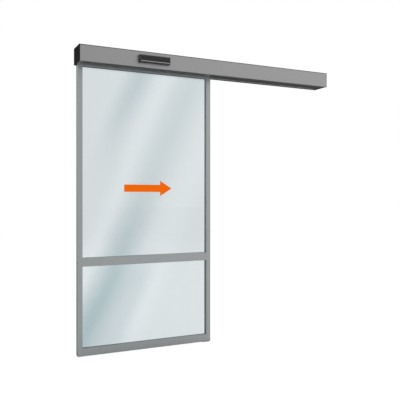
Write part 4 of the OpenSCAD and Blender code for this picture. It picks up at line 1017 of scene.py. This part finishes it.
class DOOR_OT_brushes(Operator):
    """Model the brushes under the leaf, bristle by bristle"""

    bl_idname = "door.brushes"
    bl_label = "Brushes"

    def execute(self, context):
        sizes = context.scene.door_brushes
        low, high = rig.box("bottom_brush")
        rows = (low.y + sizes.width / 2, high.y - sizes.width / 2)
        both = joined([self.strip(sizes, number, low, high, y) for number, y in enumerate(rows)])
        nylon = worn_coat("bristle_nylon", linear(26, 26, 27), linear(60, 60, 60), roughness=0.5,
                          pebbles=2000.0, depth=0.0, wear=0.0)
        settle(both, "brush_strips", nylon, "leaf", "brush_black")
        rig.replaces(both, "bottom_brush")
        return {"FINISHED"}

    def strip(self, sizes, number, low, high, y):
        """A folded holder with a row of tufts."""
        play, lip, mouth = 0.0006, 0.0009, 0.003
        run = high.x - low.x
        holder = block(((low.x + high.x) / 2, y, high.z - sizes.holder / 2),
                       (run, sizes.width - play, sizes.holder))
        choose(holder, "FACE", facing(DOWN))
        bpy.ops.mesh.inset(thickness=lip)
        pull(z=mouth)
        leave_edit()
        tufts = self.tuft(sizes, low, high, y)
        modify(tufts, "ARRAY", count=int(run / sizes.pitch) - 1, use_relative_offset=False,
               use_constant_offset=True, constant_offset_displace=(sizes.pitch, 0.0, 0.0))
        self.ruffle(tufts, sizes, number, low.z)
        return joined([holder, tufts])

    def tuft(self, sizes, low, high, y):
        """Six bristles in two staggered rows."""
        root, row_off = high.z - 0.0045, 0.0006
        bristles = []
        for column in range(3):
            for row in (-1, 1):
                clear_selection()
                x = low.x + sizes.pitch * (0.5 + (column + 0.25 * row) / 3)
                bpy.ops.mesh.primitive_cone_add(vertices=4, radius1=sizes.bristle * 0.4,
                                                radius2=sizes.bristle * 0.62, depth=root - low.z,
                                                location=(x, y + row * row_off, (root + low.z) / 2))
                bristles.append(bpy.context.object)
        tuft = joined(bristles)
        bpy.ops.object.transform_apply()
        return tuft

    def ruffle(self, tufts, sizes, number, tip_z):
        """Lets each tip stand a little out of line."""
        reach, lift = 0.0005, 0.0006
        draw = random.Random(number + 3)
        mesh = bmesh.new()
        mesh.from_mesh(tufts.data)
        shifts = {}
        for vertex in mesh.verts:
            if vertex.co.z < tip_z + reach:
                key = (round(vertex.co.x / sizes.bristle / 2), vertex.co.y > tufts.bound_box[0][1])
                if key not in shifts:
                    shifts[key] = Vector((draw.uniform(-1, 1) * sizes.bend, draw.uniform(-1, 1) * sizes.bend,
                                          draw.uniform(0.0, lift)))
                vertex.co += shifts[key]
        mesh.to_mesh(tufts.data)
        mesh.free()


class DOOR_OT_screws(Operator):
    """Model the screws that hold the door and its parts"""

    bl_idname = "door.screws"
    bl_label = "Screws"

    def execute(self, context):
        look = context.scene.door_finishes
        sizes = context.scene.door_fittings
        self.zinc = worn_coat("screw_zinc", look.plated, linear(214, 212, 206), roughness=0.32,
                              depth=0.00001, metallic=1.0)
        self.black = worn_coat("screw_black", linear(20, 20, 21), linear(60, 60, 62), roughness=0.6,
                               depth=0.00001, wear=0.2, shine=0.1)
        self.wall_screws(sizes)
        self.floor_screws(sizes)
        self.cap_screws()
        self.case_screws(sizes)
        self.motor_screws(sizes)
        self.clamp_screws()
        return {"FINISHED"}

    def fit(self, pattern, places, name):
        """Sets a zinc-plated screw out on the header's parts."""
        settle(set_out(pattern, places), name, self.zinc, "header", "zinc_steel")

    def wall_screws(self, sizes):
        """Hexagon heads on washers inside the header, one at each wall hole."""
        back_wall, shank_r, washer_h, nut_h = 0.006, 0.004, 0.0016, 0.0045
        columns, rows = (-0.9, -0.3, 0.3, 0.9), (-0.03, 0.03)
        washer = screw(sizes.wall_head, washer_h, shank_r, back_wall, recess=())
        both = joined([washer, nut(0.7 * sizes.wall_head, nut_h, washer_h)])
        self.fit(both, [((x, -back_wall, z), FORWARD) for x in columns for z in rows], "wall_screws")

    def floor_screws(self, sizes):
        """Two round heads on the floor plate, behind the leaf."""
        hole_off, rear_edge = 0.018, 0.0085
        low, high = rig.box("floor_plate")
        middle = (low.x + high.x) / 2
        self.fit(screw(sizes.floor_head, height=0.0026, shank_radius=0.0025, shank=high.z - low.z),
                 [((middle + off, high.y - rear_edge, high.z), UP) for off in (-hole_off, hole_off)],
                 "floor_screws")

    def cap_screws(self):
        """Flush heads in the end caps, blackened so that they hardly show."""
        head, shank_r = 0.0022, 0.00205
        boxes = solids("cap_screws")
        size = boxes[0][1] - boxes[0][0]
        places = []
        for low, high in boxes:
            side = math.copysign(1.0, low.x)
            places.append(((side * max(-low.x, high.x), (low.y + high.y) / 2, (low.z + high.z) / 2),
                           (side, 0.0, 0.0)))
        piece = screw(size.y / 2, head, shank_r, size.x - head, sunk=True)
        black = settle(set_out(piece, places), "cap_screws_black", self.black, "header", "zinc_steel")
        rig.replaces(black, "cap_screws")

    def case_screws(self, sizes):
        """Round heads in the corners of the gearbox's lid and of the power supply's case."""
        lid_w, inset, foot, top = 0.092, 0.005, 0.0095, 0.0085
        low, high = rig.box("gearbox")
        spots = [(x, low.y, z) for x in (high.x - lid_w + inset, high.x - inset)
                 for z in (low.z + foot, high.z - top)]
        flange, foot, top = 0.026, 0.006, 0.01
        low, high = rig.box("power_supply")
        spots += [(x, low.y, z) for x in (low.x + flange, high.x - flange)
                  for z in (low.z + foot, high.z - top)]
        self.fit(screw(sizes.case_head, height=0.0018, shank_radius=0.0015, shank=0.001),
                 [(spot, FORWARD) for spot in spots], "case_screws")

    def motor_screws(self, sizes):
        """Four tie bolts in the motor's end bell."""
        bell, circle = 0.008, 0.023
        low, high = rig.box("motor")
        places = []
        for quarter in range(4):
            turn = math.radians(45 + 90 * quarter)
            places.append(((low.x + bell, (low.y + high.y) / 2 + circle * math.cos(turn),
                            (low.z + high.z) / 2 + circle * math.sin(turn)), (-1.0, 0.0, 0.0)))
        self.fit(screw(sizes.tie_head, height=0.002, shank_radius=0.0015, shank=0.001), places,
                 "motor_screws")

    def clamp_screws(self):
        """The two screws of the belt clamp, each with its nut on top."""
        head, end_gap = 0.003, 0.0004
        boxes = solids("clamp_screws")
        size = boxes[0][1] - boxes[0][0]
        radius = size.x / 2
        feet = []
        tops = []
        for low, high in boxes:
            middle = (low + high) / 2
            feet.append(((middle.x, middle.y, low.z + head), DOWN))
            tops.append(((middle.x, middle.y, high.z - head), UP))
        bolts = set_out(screw(radius, head, 0.57 * radius, size.z - head - end_gap), feet)
        nuts = set_out(nut(radius, head), tops)
        both = settle(joined([bolts, nuts]), "clamp_bolts", self.zinc, "leaf", "zinc_steel")
        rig.replaces(both, "clamp_screws")


class DOOR_OT_controls(Operator):
    """Model the control unit's knobs, light and terminal screws, and the battery's straps"""

    bl_idname = "door.controls"
    bl_label = "Controls and straps"

    def execute(self, context):
        sizes = context.scene.door_fittings
        self.knobs(sizes)
        self.terminals(sizes)
        self.straps(sizes)
        return {"FINISHED"}

    def knobs(self, sizes):
        """A selector, two push buttons and a signal light on the control unit's face."""
        low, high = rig.box("control_unit")
        height = low.z + 0.039

        def at(off):
            """A place on the face, so far from the unit's right end."""
            return (high.x - off, low.y, height), FORWARD

        selector = self.collar(sizes.knob, rise=0.0004)
        grip = block((0.0, 0.0, 0.0012), (0.3 * sizes.knob, 1.4 * sizes.knob, 0.002))
        choose(grip, "FACE", facing(UP))
        bpy.ops.transform.resize(value=(0.7, 0.94, 1.0))
        leave_edit()
        selector = set_out(joined([selector, grip]), [at(0.06)])
        buttons = set_out(self.collar(0.75 * sizes.knob, rise=0.0014), [at(0.09), at(0.11)])
        plastic = worn_coat("knob_plastic", linear(52, 54, 58), linear(96, 97, 100), roughness=0.4,
                            pebbles=1200.0)
        settle(joined([selector, buttons]), "unit_knobs", plastic, "header", "unit_grey")
        green = worn_coat("signal_green", linear(40, 160, 84), linear(60, 180, 100), roughness=0.2,
                          pebbles=300.0, depth=0.0, wear=0.0, coat=0.6)
        radius, rise, dome = 0.0022, 0.0014, 0.0012
        light = rod(radius, rise)
        soften_top(light, rise, dome, 4)
        settle(set_out(light, [at(0.13)]), "unit_light", green, "header", "unit_grey")

    def collar(self, radius, rise):
        """A round knob that stands in a grooved collar."""
        height, groove = 0.001, 0.0006
        piece = rod(radius, height)
        choose(piece, "FACE", facing(UP))
        bpy.ops.mesh.inset(thickness=0.16 * radius)
        pull(z=-groove)
        bpy.ops.mesh.inset(thickness=0.08 * radius)
        pull(z=groove + rise)
        leave_edit()
        soften_top(piece, height + rise, 0.25 * rise, 2)
        return piece

    def terminals(self, sizes):
        """Two slotted screws over each terminal's mouth."""
        first, pitch, offs, sunk, height = 0.04, 0.024, (0.0065, 0.0141), 0.003, 0.0182
        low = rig.box("control_unit")[0]
        places = [((low.x + first + pitch * number + off, low.y + sunk, low.z + height), FORWARD)
                  for number in range(10) for off in offs]
        brass = worn_coat("terminal_screws", linear(196, 190, 170), linear(220, 216, 200), roughness=0.34,
                          depth=0.00001, wear=0.2, metallic=1.0)
        piece = screw(sizes.terminal_head, height=0.0007, shank_radius=0.0012, shank=0.0005,
                      recess=(35.0,))
        settle(set_out(piece, places), "terminal_screws", brass, "header", "zinc_steel")

    def straps(self, sizes):
        """A woven strap with a buckle round each of the battery's cells."""
        tab, gap, tab_h, corner, thickness, buckle_h = 0.02, 0.004, 0.003, 0.006, 0.0008, 0.028
        low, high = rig.box("battery_pack")
        centre = (low + high) / 2
        off = (high.x - low.x - 2 * tab + gap) / 4
        straps = []
        for x in (centre.x - off, centre.x + off):
            band = block((x, centre.y, centre.z - tab_h / 2),
                         (sizes.strap, high.y - low.y, high.z - tab_h - low.z))
            choose(band, "EDGE", runs_along("X", sizes.strap / 2))
            bpy.ops.mesh.bevel(offset=corner, segments=6)
            choose(band, "FACE", lambda face: abs(face.normal.x) > 0.9)
            bpy.ops.mesh.delete(type="FACE")
            leave_edit()
            modify(band, "SOLIDIFY", thickness=thickness, offset=1.0)
            straps += [band, self.buckle((x, low.y - thickness, low.z + buckle_h), sizes.strap)]
        webbing = worn_coat("strap_webbing", linear(30, 30, 32), linear(58, 58, 60), roughness=0.8,
                            pebbles=1600.0, depth=0.0001, wear=0.4, shine=0.2)
        settle(joined(straps), "battery_straps", webbing, "header", "battery_wrap")

    def buckle(self, place, width):
        """A ladder buckle: a bevelled plate with a hollow face."""
        thickness, height, side, rim, hollow = 0.002, 0.018, 0.003, 0.0035, 0.0012
        piece = block((place[0], place[1] - thickness / 2, place[2]), (width + 2 * side, thickness, height))
        choose(piece, "EDGE", runs_along("Y", thickness / 2))
        bpy.ops.mesh.bevel(offset=0.002, segments=3)
        choose(piece, "FACE", facing(FORWARD))
        bpy.ops.mesh.inset(thickness=rim)
        pull(y=hollow)
        leave_edit()
        return piece


class DOOR_PT_parts(Panel):
    """The door's parts in the sidebar"""

    bl_label = "Sliding door"
    bl_idname = "DOOR_PT_parts"
    bl_space_type = "VIEW_3D"
    bl_region_type = "UI"
    bl_category = "Door"

    def draw(self, context):
        for step in STEPS:
            self.layout.operator(step.bl_idname)
        for name, group in SETTINGS:
            for setting in group.__annotations__:
                self.layout.prop(getattr(context.scene, name), setting)


SETTINGS = (("door_view", DoorView), ("door_studio", DoorStudio), ("door_finishes", DoorFinishes),
            ("door_glass", DoorGlass), ("door_sensor", DoorSensor), ("door_brushes", DoorBrushes),
            ("door_fittings", DoorFittings))
STEPS = (DOOR_OT_camera, DOOR_OT_studio, DOOR_OT_header, DOOR_OT_modules, DOOR_OT_cover, DOOR_OT_sensor,
         DOOR_OT_leaf, DOOR_OT_glazing, DOOR_OT_carriages, DOOR_OT_floor_guide, DOOR_OT_brushes,
         DOOR_OT_screws, DOOR_OT_controls)


def register():
    """Registers the settings, the operators and the panel."""
    for name, group in SETTINGS:
        bpy.utils.register_class(group)
        setattr(bpy.types.Scene, name, PointerProperty(type=group))
    for step in STEPS:
        bpy.utils.register_class(step)
    bpy.utils.register_class(DOOR_PT_parts)


def unregister():
    """Takes them away again."""
    bpy.utils.unregister_class(DOOR_PT_parts)
    for step in reversed(STEPS):
        bpy.utils.unregister_class(step)
    for name, group in reversed(SETTINGS):
        delattr(bpy.types.Scene, name)
        bpy.utils.unregister_class(group)


def main():
    """Builds everything and writes the size of the CAD model and of the finished one."""
    register()
    bpy.ops.door.camera()
    bpy.ops.door.studio()
    bpy.ops.door.header()
    bpy.ops.door.modules()
    bpy.ops.door.cover()
    bpy.ops.door.sensor()
    bpy.ops.door.leaf()
    bpy.ops.door.glazing()
    bpy.ops.door.carriages()
    bpy.ops.door.floor_guide()
    bpy.ops.door.brushes()
    bpy.ops.door.screws()
    bpy.ops.door.controls()
    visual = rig.bounds()
    sizes = {"cad": [list(corner) for corner in CAD_BOX], "visual": [list(corner) for corner in visual]}
    with open("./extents.json", "w") as file:
        json.dump(sizes, file)


if __name__ == "__main__":
    main()
